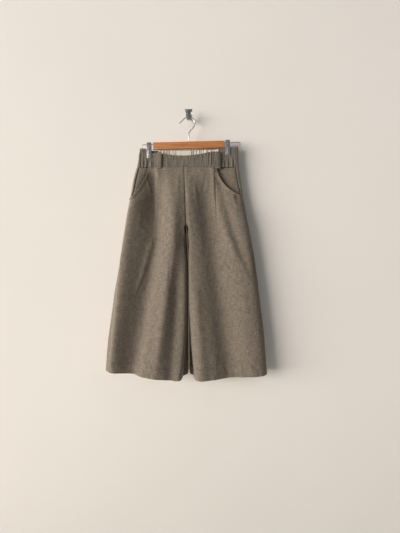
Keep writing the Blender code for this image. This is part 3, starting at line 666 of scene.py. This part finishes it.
def patch(name, span, top, end_z, face, inwards, thickness, columns, rows, finish,
          relief=None):
    """A small piece that lies on the waist. top gives its top edge at each x."""

    def lay(down, across):
        wanted = span[LEFT] + (span[RIGHT] - span[LEFT]) * across
        x, y, heights = np.empty_like(wanted), np.empty_like(wanted), np.empty_like(wanted)
        for i, at in enumerate(wanted):
            z = float(top(at) + (end_z - top(at)) * down)
            side = LEFT if at < section(z).centre else RIGHT
            length = length_at(side, face, at, z)
            off = inwards - (relief(at, down) if relief else 0.0)
            x[i], y[i] = place(side, length, z, off)
            heights[i] = z
        return x, y, heights, wanted, heights

    return cloth_sheet(name, columns, rows, lay, thickness, finish)


LOOP_EDGE_DENT, LOOP_EDGE_WIDTH = 0.0005, 0.0016
LOOP_STITCH_INSET, LOOP_STITCH_DENT, LOOP_STITCH_WIDTH = 0.0028, 0.0003, 0.0007
LOOP_LIFT = 0.0014  # clear of the band


def belt_loop(side, finish):
    half = LOOP_WIDTH / 2
    middle = LOOP_X[side]

    def relief(x, down):
        bulge = LOOP_STAND_OFF * math.sin(math.pi * down)
        off = abs(x - middle) - half
        edge = dent(off, LOOP_EDGE_DENT, LOOP_EDGE_WIDTH)
        stitch = dent(off + LOOP_STITCH_INSET, LOOP_STITCH_DENT, LOOP_STITCH_WIDTH)
        return bulge - edge - stitch

    span = {LEFT: middle - half, RIGHT: middle + half}
    word = SIDES[side]
    piece = patch(f"belt_loop_{word}_cloth", span, lambda x: LOOP_TOP_Z, LOOP_END_Z, FRONT,
                  -LOOP_LIFT - CLOTH, CLOTH, 24, 60, finish, relief)
    return finished(piece, [f"belt_loop_{word}"])


LINING_RUFFLE, LINING_RUFFLE_WIDTH = 0.0028, 0.005
LINING_LIFT, LABEL_LIFT = 0.0016, 0.0034  # clear of the band inside


def lining(finish):
    def relief(x, down):
        near_top = 0.4 + 0.6 * (1 - down)
        where = Vector((x / LINING_RUFFLE_WIDTH, down * 0.8, 6.6))
        return LINING_RUFFLE * near_top * noise.noise(where)

    piece = patch("waistband_lining_cloth", LINING_X,
                  lambda x: BACK_TOP_Z - 0.001 + top_edge(BACK, np.array(x)) - BACK_TOP_Z,
                  WAIST_SEAM_Z + 0.004, BACK, BAND + LINING_LIFT, LINING, 240, 24, finish,
                  relief)
    return finished(piece, ["waistband_lining"])


def label(finish):
    piece = patch("label_tape", LABEL_X, lambda x: LABEL_TOP_Z, LABEL_END_Z, BACK,
                  BAND + LINING + LABEL_LIFT, LINING / 2, 40, 24, finish)
    return finished(piece, ["label"])


# ---------------------------------------------------------------- the pockets
FACING_COLUMNS = 60
FACING_LIFT, FACING_RUMPLE = 0.0015, 0.0008
FACING_ROWS = ROWS_BY_POCKET + 6


def pocket_facing(side, finish):
    def lay(down, across):
        z = panel_height(side, FRONT, down * FACING_ROWS / PANEL_ROWS)
        start = side_seam(side, z) + GAP
        edge = pocket_edge(side, z)
        reach = (edge if edge is not None else outline(side, z)) - side * FACING_LAP
        end = length_at(side, FRONT, reach, z)
        length = start + (end - start) * across
        x, _ = place(side, length, z, 0.0)
        sink = CLOTH + 2 * GAP + FACING_LIFT + FACING_SINK * ease(1.5 * across)
        relief = FACING_RUMPLE * uneven(x, z, 0.010, 0.045, 11.0 + side)
        relief -= dent(length - start, SEAM_DENT, SEAM_DENT_WIDTH)
        x, y = place(side, length, z, sink - relief * (1 - across))
        return x, y, np.full_like(x, z), length, np.full_like(x, z)

    name = f"pocket_facing_{SIDES[side]}"
    piece = cloth_sheet(f"{name}_cloth", FACING_COLUMNS, FACING_ROWS, lay, CLOTH, finish)
    return finished(piece, [name])


# ---------------------------------------------------------------- stitches
STITCH_LENGTH, STITCH_PITCH, STITCH_WIDTH = 0.0024, 0.0033, 0.00055


def stitched(name, lines, finish):
    """Rows of stitches along lines of 3-D points, as one mesh."""
    bm = bmesh.new()
    bmesh.ops.create_uvsphere(bm, u_segments=6, v_segments=4, radius=0.5)
    bmesh.ops.scale(bm, vec=(STITCH_WIDTH, STITCH_WIDTH, STITCH_LENGTH), verts=bm.verts)
    one = bpy.data.meshes.new("one_stitch")
    bm.to_mesh(one)
    bm.free()
    bm = bmesh.new()
    for line in lines:
        line = np.asarray(line, float)
        steps = np.linalg.norm(np.diff(line, axis=0), axis=1)
        along = np.concatenate([[0.0], np.cumsum(steps)])
        for start in np.arange(0.001, along[-1] - STITCH_LENGTH, STITCH_PITCH):
            ends = [Vector([np.interp(start + part, along, line[:, i]) for i in range(3)])
                    for part in (0.0, STITCH_LENGTH)]
            turn = (ends[1] - ends[0]).to_track_quat("Z", "Y").to_matrix().to_4x4()
            lay = Matrix.Translation((ends[0] + ends[1]) / 2) @ turn
            one.transform(lay)
            bm.from_mesh(one)
            one.transform(lay.inverted())
    bpy.data.meshes.remove(one)
    return finished(object_from(bm, name, finish))


def hem_line(side, face):
    z = HEM_Z + HEM_DEPTH
    start, end = panel_ends(side, face, z)
    length = np.linspace(start + (end - start) * 0.01, end - (end - start) * 0.01, 160)
    return np.column_stack(panel_point(side, face, length, z, 0.0002))


def casing_line(face):
    positions = np.linspace(-0.985, 0.985, 260)
    points = []
    for position in positions:
        x = float(waist_points(face, np.array([position]), -0.140, 0.0)[0][0])
        down = CASING_DEPTH / float(top_edge(face, np.array(x)) - WAIST_SEAM_Z)
        points.append([float(c[0]) for c in band_point(face, np.array([position]), down, 0.0002)])
    return points


def pocket_line(side, inset):
    line = []
    for z in np.linspace(WAIST_SEAM_Z - 0.004, POCKET_END_Z[side] + 0.004, 90):
        start, _ = panel_ends(side, FRONT, float(z))
        point = panel_point(side, FRONT, np.array([start + inset]), float(z), 0.0002)
        line.append([float(np.ravel(c)[0]) for c in point])
    return line


def stitching(finish):
    made = [stitched(f"hem_stitches_{SIDES[side]}", [hem_line(side, FRONT), hem_line(side, BACK)],
                     finish) for side in (LEFT, RIGHT)]
    made.append(stitched("casing_stitches", [casing_line(FRONT), casing_line(BACK)], finish))
    for side in (LEFT, RIGHT):
        made.append(stitched(f"pocket_stitches_{SIDES[side]}",
                             [pocket_line(side, POCKET_TOPSTITCH)], finish))
    return made


# ---------------------------------------------------------------- the hanger
HANGER_TILT = math.radians(1.47)
HANGER_Y = -0.035
BAR_SIZE = (0.2515, 0.0120, 0.0254)
BAR_X, BAR_Z = -0.0012, -0.1122
BAR_ROUNDING = 0.0026
ROD_RADIUS, HOOK_RADIUS = 0.0016, 0.0018
ROD_Z = -0.1062
ROD_REACH = {LEFT: -0.1650, RIGHT: 0.1790}
ROD_BEND = 0.0050
CLIP_WIDTH = 0.016
JAW_PLATE, JAW_LIP, JAW_STAND_OFF = 0.0012, 0.0030, 0.0062
JAW_TOP_Z = {LEFT: -0.1005, RIGHT: -0.0985}
JAW_END_Z = {LEFT: -0.1545, RIGHT: -0.1500}
JAW_GRIP_Z = -0.145
COIL_RADIUS, COIL_WIRE, COIL_LENGTH, COIL_TURNS = 0.0036, 0.00065, 0.0145, 9
HOOK_PATH = [
    (-0.0328, -0.0347),
    (-0.0220, -0.0252),
    (-0.0113, -0.0162),
    (-0.0050, -0.0128),
    (0.0020, -0.0121),
    (0.0100, -0.0145),
    (0.0172, -0.0212),
    (0.0214, -0.0290),
    (0.0222, -0.0375),
    (0.0185, -0.0470),
    (0.0115, -0.0550),
    (0.0050, -0.0620),
    (0.0006, -0.0690),
    (0.0000, -0.0790),
]
TILTED = Matrix.Rotation(-HANGER_TILT, 4, "Y")


def smooth_line(points, steps):
    ends = [points[0] * 2 - points[1], *points, points[-1] * 2 - points[-2]]
    line = []
    for a, b, c, d in zip(ends, ends[1:], ends[2:], ends[3:]):
        for i in range(steps):
            t = i / steps
            line.append(0.5 * (2 * b + (c - a) * t + (2 * a - 5 * b + 4 * c - d) * t ** 2
                               + (3 * b - a - 3 * c + d) * t ** 3))
    return [*line, points[-1]]


def wire(name, points, radius, finish, replaces=(), resolution=5):
    """Round wire along points in the hanger's own frame, its ends closed and tapered."""
    curve = bpy.data.curves.new(name, "CURVE")
    curve.dimensions = "3D"
    curve.bevel_depth = radius
    curve.bevel_resolution = resolution
    curve.use_fill_caps = True
    first, last = (points[0] - points[1]).normalized(), (points[-1] - points[-2]).normalized()
    points = [points[0] + first * radius * 0.3, *points, points[-1] + last * radius * 0.3]
    spline = curve.splines.new("POLY")
    spline.points.add(len(points) - 1)
    for index, (place_at, point) in enumerate(zip(spline.points, points)):
        place_at.co = (*(TILTED @ point), 1.0)
        place_at.radius = 0.72 if index in (0, len(points) - 1) else 1.0
    shape = linked(f"{name}_line", curve)
    mesh = bpy.data.meshes.new_from_object(shape.evaluated_get(
        bpy.context.evaluated_depsgraph_get()))
    bpy.data.objects.remove(shape)
    mesh.name = name
    mesh.materials.clear()
    mesh.materials.append(finish)
    mesh.shade_smooth()
    mesh.set_sharp_from_angle(angle=math.radians(50))
    return finished(linked(name, mesh), replaces)


def add_part(bm, part):
    mesh = bpy.data.meshes.new("part")
    part.to_mesh(mesh)
    part.free()
    bm.from_mesh(mesh)
    bpy.data.meshes.remove(mesh)


def add_box(bm, size, centre, rounding, turn=Matrix.Identity(4), segments=3):
    """A box with rounded edges, added to the bmesh."""
    part = bmesh.new()
    bmesh.ops.create_cube(part, size=1.0)
    bmesh.ops.scale(part, vec=size, verts=part.verts)
    bmesh.ops.bevel(part, geom=part.edges[:], offset=rounding, segments=segments,
                    affect="EDGES", profile=0.5, material=-1)
    bmesh.ops.transform(part, matrix=Matrix.Translation(centre) @ turn, verts=part.verts)
    add_part(bm, part)


def add_extrusion(bm, outline_points, depth, rounding):
    """A closed outline extruded along depth, its sharp edges bevelled."""
    part = bmesh.new()
    face = part.faces.new([part.verts.new(point) for point in outline_points])
    extruded = bmesh.ops.extrude_face_region(part, geom=[face])
    moved = [v for v in extruded["geom"] if isinstance(v, bmesh.types.BMVert)]
    bmesh.ops.translate(part, vec=depth, verts=moved)
    bmesh.ops.recalc_face_normals(part, faces=part.faces)
    sharp = [e for e in part.edges if e.calc_face_angle(0) > math.radians(25)]
    bmesh.ops.bevel(part, geom=sharp, offset=rounding, segments=2, affect="EDGES",
                    profile=0.5, material=-1)
    add_part(bm, part)


def add_cylinder(bm, radius, depth, centre, axis, rounding, segments=32):
    part = bmesh.new()
    bmesh.ops.create_cone(part, cap_ends=True, segments=segments, radius1=radius,
                          radius2=radius, depth=depth, matrix=axis)
    rims = [e for e in part.edges if e.calc_face_angle(0) > math.radians(60)]
    bmesh.ops.bevel(part, geom=rims, offset=rounding, segments=3, affect="EDGES",
                    profile=0.5, material=-1)
    bmesh.ops.translate(part, vec=centre, verts=part.verts)
    add_part(bm, part)


def clip_centre(side):
    return CLIP_X[side] * math.cos(HANGER_TILT) + JAW_GRIP_Z * math.sin(HANGER_TILT)


def hanger_bar(finish):
    """The wooden bar, with softened corners."""
    bm = bmesh.new()
    add_box(bm, BAR_SIZE, (BAR_X, HANGER_Y, BAR_Z), BAR_ROUNDING, segments=5)
    bmesh.ops.transform(bm, matrix=TILTED, verts=bm.verts)
    return finished(object_from(bm, "hanger_bar_wood", finish), ["hanger_bar"])


def clip_jaw(side, face, finish):
    """A stamped plate with a rolled top, a pressed rib, a gripping lip and two ears."""
    inner, outer_off = JAW_STAND_OFF - JAW_PLATE, JAW_STAND_OFF
    grip = CLAMPED[face] + GAP
    top, end = JAW_TOP_Z[side], JAW_END_Z[side]
    centre = clip_centre(side)
    profile = [(inner, top), (outer_off, top), (outer_off, end), (grip, end),
               (grip, end + JAW_LIP), (inner, end + 1.6 * JAW_LIP)]
    bm = bmesh.new()
    points = [Vector((centre - CLIP_WIDTH / 2, HANGER_Y + face * y, z)) for y, z in profile]
    add_extrusion(bm, points, (CLIP_WIDTH, 0.0, 0.0), 0.0003)
    rib = (CLIP_WIDTH * 0.34, 0.0009, (top - end) * 0.62)
    add_box(bm, rib, (centre, HANGER_Y + face * outer_off, (top + end) / 2), 0.0004)
    roll = Matrix.Rotation(math.pi / 2, 4, "Y")
    add_cylinder(bm, 0.0010, CLIP_WIDTH, (centre, HANGER_Y + face * (outer_off - 0.0006), top),
                 roll, 0.0002, 16)
    for along in (-1, 1):
        ear = (0.0007, inner + 0.0004, 0.0085)
        at = (centre + along * (CLIP_WIDTH / 2 - 0.0012 - 0.0004 * face),
              HANGER_Y + face * ear[1] / 2, ROD_Z)
        add_box(bm, ear, at, 0.0003)
    bmesh.ops.transform(bm, matrix=TILTED, verts=bm.verts)
    word = f"clip_{SIDES[side]}_{FACES[face]}"
    return finished(object_from(bm, f"{word}_plate", finish), [word])


def clip_spring(side, finish):
    """A coil round the rod, with both its legs down the back jaw."""
    centre = clip_centre(side)
    line = []
    leg = Vector((centre - COIL_LENGTH / 2, HANGER_Y + 0.0044, ROD_Z - 0.016))
    line.append(leg)
    steps = COIL_TURNS * 16
    for step in range(steps + 1):
        turned = math.tau * step / 16 - 0.2
        line.append(Vector((centre + COIL_LENGTH * (step / steps - 0.5),
                            HANGER_Y + COIL_RADIUS * math.cos(turned),
                            ROD_Z + COIL_RADIUS * math.sin(turned))))
    line.append(Vector((centre + COIL_LENGTH / 2, HANGER_Y + 0.0046, ROD_Z - 0.016)))
    name = f"clip_{SIDES[side]}_spring"
    return wire(f"{name}_coil", line, COIL_WIRE, finish, [name], 3)


def hanger_rod(side, finish):
    start = BAR_X + side * (BAR_SIZE[0] / 2 - 0.002)
    reach = ROD_REACH[side]
    line = [Vector((start, HANGER_Y, ROD_Z)), Vector((reach - side * ROD_BEND, HANGER_Y, ROD_Z))]
    for step in range(1, 11):
        turned = math.pi / 2 * step / 10
        line.append(Vector((reach - side * ROD_BEND * (1 - math.sin(turned)),
                            HANGER_Y + 0.4 * ROD_BEND * (1 - math.cos(turned)),
                            ROD_Z - ROD_BEND * (1 - math.cos(turned)))))
    line.append(line[-1] + Vector((0.0, 0.0015, -0.0035)))
    name = f"hanger_rod_{SIDES[side]}"
    return wire(f"{name}_steel", line, ROD_RADIUS, finish, [name])


def hanger(finishes):
    hanger_bar(finishes["wood"])
    line = smooth_line([Vector((x, HANGER_Y, z)) for x, z in HOOK_PATH], 8)
    bar_top = BAR_Z + BAR_SIZE[2] / 2
    line.append(Vector((HOOK_PATH[-1][0], HANGER_Y, bar_top - 0.001)))
    wire("hanger_hook_wire", line, HOOK_RADIUS, finishes["wire"], ["hanger_hook"], 8)
    for side in (LEFT, RIGHT):
        hanger_rod(side, finishes["wire"])
        clip_spring(side, finishes["clip"])
        for face in (FRONT, BACK):
            clip_jaw(side, face, finishes["clip"])


# ---------------------------------------------------------------- the wall hook
PLATE_SIZE = (0.016, 0.003, 0.019)
ARM_WIDTH, ARM_HEIGHT, ARM_TOP_Z = 0.008, 0.005, -0.0153
ARM_ROOT_Z, ARM_BEND_Y = (-0.002, -0.008), (-0.022, -0.019)  # each for the top and the underside
STRAP_X, STRAP_Y, STRAP_END_Z = 0.0006, -0.0430, -0.0255
STRAP_SIZE = (0.0167, 0.0024, 0.0280)
CAP_SIZE = (0.0254, 0.0050, 0.0086)
SCREW_RADIUS = 0.0026


def hook_piece(node, finish, make):
    bm = bmesh.new()
    make(bm)
    return finished(object_from(bm, f"{node}_steel", finish), [node])


def wall_hook(finish):
    thickness = PLATE_SIZE[1]
    arm_end = STRAP_Y + STRAP_SIZE[1] / 2 + GAP
    low = ARM_TOP_Z - ARM_HEIGHT
    root = -thickness - GAP
    arm = [(root, ARM_ROOT_Z[0]), (ARM_BEND_Y[0], ARM_TOP_Z), (arm_end, ARM_TOP_Z),
           (arm_end, low), (ARM_BEND_Y[1], low), (root, ARM_ROOT_Z[1])]
    half, front = STRAP_SIZE[0] / 2, STRAP_Y - STRAP_SIZE[1] / 2
    tip_centre = STRAP_END_Z + half
    top = STRAP_END_Z + STRAP_SIZE[2]
    tip = [(-half * math.cos(math.pi * i / 24), tip_centre - half * math.sin(math.pi * i / 24))
           for i in range(25)]
    strap = [(-half, top), *tip, (half, top)]
    upright = Matrix.Rotation(math.pi / 2, 4, "X")
    screw_at = (STRAP_X, front - GAP - 0.0006, top - 0.005)

    def plate(bm):
        add_box(bm, PLATE_SIZE, (0.0, -thickness / 2, 0.0), 0.0006)

    def arm_bar(bm):
        add_extrusion(bm, [Vector((-ARM_WIDTH / 2, y, z)) for y, z in arm],
                      (ARM_WIDTH, 0.0, 0.0), 0.0005)

    def strap_plate(bm):
        add_extrusion(bm, [Vector((STRAP_X + x, front, z)) for x, z in strap],
                      (0.0, STRAP_SIZE[1], 0.0), 0.0005)

    def cap(bm):
        add_box(bm, CAP_SIZE, (STRAP_X + 0.0009, STRAP_Y, top + GAP + CAP_SIZE[2] / 2), 0.0012)

    def screw(bm):
        add_cylinder(bm, SCREW_RADIUS, 0.0012, screw_at, upright, 0.0004)
        for turned in (0.5, 0.5 + math.pi / 2):
            add_box(bm, (SCREW_RADIUS * 1.3, 0.0003, 0.0006),
                    (screw_at[0], screw_at[1] - 0.00062, screw_at[2]), 0.0001,
                    Matrix.Rotation(turned, 4, "Y"))

    for node, make in (("wall_hook_plate", plate), ("wall_hook_arm", arm_bar),
                       ("wall_hook_strap", strap_plate), ("wall_hook_cap", cap),
                       ("wall_hook_screw", screw)):
        hook_piece(node, finish, make)


# ---------------------------------------------------------------- materials
def feed(tree, socket, value):
    """A socket takes a link, a colour or a number."""
    if isinstance(value, bpy.types.NodeSocket):
        tree.links.new(value, socket)
    else:
        socket.default_value = value if isinstance(value, float) else (*value, 1.0)


def new_material(name, **constants):
    """A material, its nodes and its shader's sockets, some of them set to constants."""
    made = bpy.data.materials.new(name)
    made.use_nodes = True
    sockets = made.node_tree.nodes["Principled BSDF"].inputs
    for words, value in constants.items():
        sockets[words.replace("_", " ")].default_value = value
    return made, made.node_tree, sockets


def object_place(tree):
    return tree.nodes.new("ShaderNodeTexCoord").outputs["Object"]


def noise_texture(tree, source, scale, detail=3.0, roughness=0.5):
    """A noise on source, stretched by a Mapping along each axis."""
    texture, mapping = (tree.nodes.new(f"ShaderNode{kind}") for kind in ("TexNoise", "Mapping"))
    for words, value in (("Scale", 1.0), ("Detail", detail), ("Roughness", roughness)):
        texture.inputs[words].default_value = value
    mapping.inputs["Scale"].default_value = scale
    tree.links.new(source, mapping.inputs["Vector"])
    tree.links.new(mapping.outputs["Vector"], texture.inputs["Vector"])
    return texture.outputs["Fac"]


def ramp(tree, value, stops):
    made = tree.nodes.new("ShaderNodeValToRGB")
    while len(made.color_ramp.elements) < len(stops):
        made.color_ramp.elements.new(0.5)
    for element, (at, colour) in zip(made.color_ramp.elements, stops):
        element.position = at
        element.color = (*colour, 1.0)
    tree.links.new(value, made.inputs["Fac"])
    return made.outputs["Color"]


def multiplied(tree, first, second):
    """Two colours multiplied."""
    made = tree.nodes.new("ShaderNodeMix")
    made.data_type = "RGBA"
    made.blend_type = "MULTIPLY"
    for index, value in ((0, 1.0), (6, first), (7, second)):
        feed(tree, made.inputs[index], value)
    return made.outputs[2]


def maths(tree, kind, first, second):
    made = tree.nodes.new("ShaderNodeMath")
    made.operation = kind
    for socket, value in zip(made.inputs, (first, second)):
        feed(tree, socket, value)
    return made.outputs[0]


def weighted(tree, first, first_share, second, second_share):
    return maths(tree, "ADD", maths(tree, "MULTIPLY", first, first_share),
                 maths(tree, "MULTIPLY", second, second_share))


def bumped(tree, height, distance, strength):
    made = tree.nodes.new("ShaderNodeBump")
    made.inputs["Strength"].default_value = strength
    made.inputs["Distance"].default_value = distance
    tree.links.new(height, made.inputs["Height"])
    return made.outputs["Normal"]


def linen(name, dark, light, thread=0.0010, slub=0.45, sheen=0.12):
    """Plain-woven melange cloth: crossing threads, uneven slubs and a soft mottle."""
    made, tree, shader = new_material(name, Roughness=0.92, Sheen_Weight=sheen,
                                      Sheen_Roughness=0.5, Specular_IOR_Level=0.2)
    uv = tree.nodes.new("ShaderNodeUVMap").outputs["UV"]
    fine = 1 / thread
    warp = noise_texture(tree, uv, (fine, fine / 14, 1.0), 2.0)
    weft = noise_texture(tree, uv, (fine / 14, fine, 1.0), 2.0)
    slub_warp = noise_texture(tree, uv, (fine / 2.5, fine / 24, 1.0), 3.0, 0.6)
    slub_weft = noise_texture(tree, uv, (fine / 24, fine / 2.5, 1.0), 3.0, 0.6)
    mottle = noise_texture(tree, uv, (60.0, 40.0, 1.0), 5.0, 0.65)
    both = weighted(tree, maths(tree, "ADD", warp, weft), 0.5 - slub / 2,
                    maths(tree, "ADD", slub_warp, slub_weft), slub / 2)
    middle = [(a + b) / 2 for a, b in zip(dark, light)]
    colour = ramp(tree, both, [(0.38, dark), (0.50, middle), (0.62, light)])
    shade = ramp(tree, mottle, [(0.30, (0.86, 0.87, 0.89)), (0.70, (1.0, 1.0, 0.99))])
    feed(tree, shader["Base Color"], multiplied(tree, colour, shade))
    feed(tree, shader["Normal"], bumped(tree, both, 0.0005, 0.7))
    return made


def wood_finish():
    """Orange lacquered wood, its grain along the bar."""
    made, tree, shader = new_material("orange_lacquered_wood", Roughness=0.42, Coat_Weight=0.25,
                                      Coat_Roughness=0.3)
    where = object_place(tree)
    grain = noise_texture(tree, where, (9.0, 260.0, 300.0), 4.0, 0.6)
    fibres = noise_texture(tree, where, (40.0, 1500.0, 1700.0), 2.0)
    both = weighted(tree, grain, 0.7, fibres, 0.3)
    feed(tree, shader["Base Color"],
         ramp(tree, both, [(0.30, (0.30, 0.095, 0.028)), (0.50, (0.47, 0.17, 0.055)),
                           (0.68, (0.60, 0.26, 0.10))]))
    feed(tree, shader["Normal"], bumped(tree, both, 0.0003, 0.35))
    return made


def steel_finish(name, dark, light, roughness, stretch):
    made, tree, shader = new_material(name, Metallic=1.0)
    where = object_place(tree)
    brushed = noise_texture(tree, where, stretch, 3.0)
    stains = noise_texture(tree, where, (160.0, 160.0, 160.0), 4.0, 0.6)
    feed(tree, shader["Base Color"], ramp(tree, stains, [(0.30, dark), (0.65, light)]))
    rough = tree.nodes.new("ShaderNodeMapRange")
    rough.inputs["To Min"].default_value = roughness - 0.08
    rough.inputs["To Max"].default_value = roughness + 0.12
    tree.links.new(brushed, rough.inputs["Value"])
    feed(tree, shader["Roughness"], rough.outputs["Result"])
    feed(tree, shader["Normal"], bumped(tree, brushed, 0.0001, 0.3))
    return made


def thread_finish(name, colour):
    made, tree, shader = new_material(name, Roughness=0.8)
    twist = noise_texture(tree, object_place(tree), (900.0, 900.0, 900.0), 2.0)
    darker = [c * 0.7 for c in colour]
    feed(tree, shader["Base Color"], ramp(tree, twist, [(0.35, darker), (0.65, colour)]))
    return made


def wall_finish():
    """Pale paint that is seen from the room's side only."""
    made, tree, shader = new_material("pale_wall_paint", Roughness=0.9)
    patches = noise_texture(tree, object_place(tree), (2.0, 2.0, 2.0), 3.0)
    feed(tree, shader["Base Color"],
         ramp(tree, patches, [(0.3, (0.80, 0.745, 0.69)), (0.7, (0.82, 0.765, 0.71))]))
    clear, either, seen = (tree.nodes.new(f"ShaderNode{kind}")
                           for kind in ("BsdfTransparent", "MixShader", "NewGeometry"))
    painted = tree.nodes["Principled BSDF"].outputs["BSDF"]
    for source, socket in ((seen.outputs["Backfacing"], either.inputs["Fac"]),
                           (painted, either.inputs[1]), (clear.outputs["BSDF"], either.inputs[2]),
                           (either.outputs["Shader"], tree.nodes["Material Output"].inputs["Surface"])):
        tree.links.new(source, socket)
    return made


# ---------------------------------------------------------------- the room
CAMERA_AT = (0.0413, -1.435, -0.536)
CAMERA_LENS, CAMERA_SENSOR = 27.0, 36.0
FLOOR_Z = -1.75
ROOM_SIZE, WALL_Y, FLOOR_Y = 8.0, 0.0006, -3.9
WINDOW_AT, WINDOW_TOWARDS = (-11.9, -7.35, -0.10), (0.0, -0.05, -0.55)
WINDOW_SIZE, WINDOW_POWER, WINDOW_COLOUR = (12.0, 6.0), 2880.0, (1.0, 0.965, 0.915)
BEHIND_AT, BEHIND_TOWARDS = (-0.16, -0.001, -0.50), (-0.16, -1.0, -0.50)
BEHIND_SIZE, BEHIND_POWER = (0.40, 1.0), 0.9
ROOM_COLOUR, ROOM_STRENGTH = (0.88, 0.95, 1.0, 1.0), 0.27


def stage_plane(name, size, matrix, finish):
    bm = bmesh.new()
    bmesh.ops.create_grid(bm, x_segments=4, y_segments=4, size=size / 2)
    bmesh.ops.transform(bm, matrix=matrix, verts=bm.verts)
    mesh = bpy.data.meshes.new(name)
    bm.to_mesh(mesh)
    bm.free()
    mesh.materials.append(finish)
    linked(name, mesh)


def area_light(name, at, towards, size, power, colour=(1.0, 1.0, 1.0)):
    lamp = bpy.data.lights.new(name, "AREA")
    lamp.shape = "RECTANGLE"
    lamp.size, lamp.size_y = size
    lamp.energy = power
    lamp.color = colour
    holder = linked(name, lamp)
    holder.location = at
    holder.rotation_euler = (Vector(towards) - Vector(at)).to_track_quat("-Z", "Y").to_euler()
    holder.visible_camera = False


def room():
    paint = wall_finish()
    stage_plane("wall", ROOM_SIZE, Matrix.Translation((0.0, WALL_Y, 0.0))
                @ Matrix.Rotation(math.pi / 2, 4, "X"), paint)
    floor_paint = thread_finish("pale_floor", (0.72, 0.68, 0.63))
    stage_plane("floor", ROOM_SIZE, Matrix.Translation((0.0, FLOOR_Y, FLOOR_Z)), floor_paint)
    area_light("window", WINDOW_AT, WINDOW_TOWARDS, WINDOW_SIZE, WINDOW_POWER, WINDOW_COLOUR)
    area_light("behind_the_cloth", BEHIND_AT, BEHIND_TOWARDS, BEHIND_SIZE, BEHIND_POWER)
    world = bpy.data.worlds.new("soft_room")
    world.use_nodes = True
    sky = world.node_tree.nodes["Background"].inputs
    sky["Color"].default_value = ROOM_COLOUR
    sky["Strength"].default_value = ROOM_STRENGTH
    bpy.context.scene.world = world
    bpy.context.scene.view_settings.view_transform = "Standard"
    camera = linked("camera", bpy.data.cameras.new("camera"))
    camera.data.lens, camera.data.sensor_width = CAMERA_LENS, CAMERA_SENSOR
    camera.location = CAMERA_AT
    camera.rotation_euler = (math.pi / 2, 0.0, 0.0)
    bpy.context.scene.camera = camera


# ---------------------------------------------------------------- all together
def garment():
    cloth = linen("melange_linen", (0.092, 0.077, 0.063), (0.325, 0.259, 0.194))
    band = linen("melange_linen_band", (0.080, 0.069, 0.059), (0.262, 0.216, 0.168))
    pale = linen("pale_cotton_lining", (0.55, 0.49, 0.38), (0.80, 0.74, 0.62), 0.0006, 0.10, 0.1)
    tape = linen("woven_tape", (0.62, 0.58, 0.50), (0.86, 0.83, 0.76), 0.0005, 0.10, 0.1)
    thread = thread_finish("brown_grey_thread", (0.10, 0.080, 0.062))
    panels = {(side, face): panel(side, face, cloth)
              for side in (LEFT, RIGHT) for face in (FRONT, BACK)}
    facings = {side: pocket_facing(side, cloth) for side in (LEFT, RIGHT)}
    bands = {face: waistband(face, band) for face in (FRONT, BACK)}
    loops = {side: belt_loop(side, band) for side in (LEFT, RIGHT)}
    inside = lining(pale)
    tag = label(tape)
    made = stitching(thread)


garment()
hanger({"wood": wood_finish(),
        "wire": steel_finish("bright_wire", (0.38, 0.37, 0.36), (0.62, 0.61, 0.60), 0.30,
                             (500.0, 500.0, 500.0)),
        "clip": steel_finish("clip_plate", (0.30, 0.295, 0.29), (0.62, 0.61, 0.60), 0.30,
                             (1500.0, 200.0, 120.0))})
wall_hook(steel_finish("wall_hook_steel", (0.20, 0.19, 0.18), (0.40, 0.39, 0.375), 0.40,
                       (900.0, 900.0, 120.0)))
room()
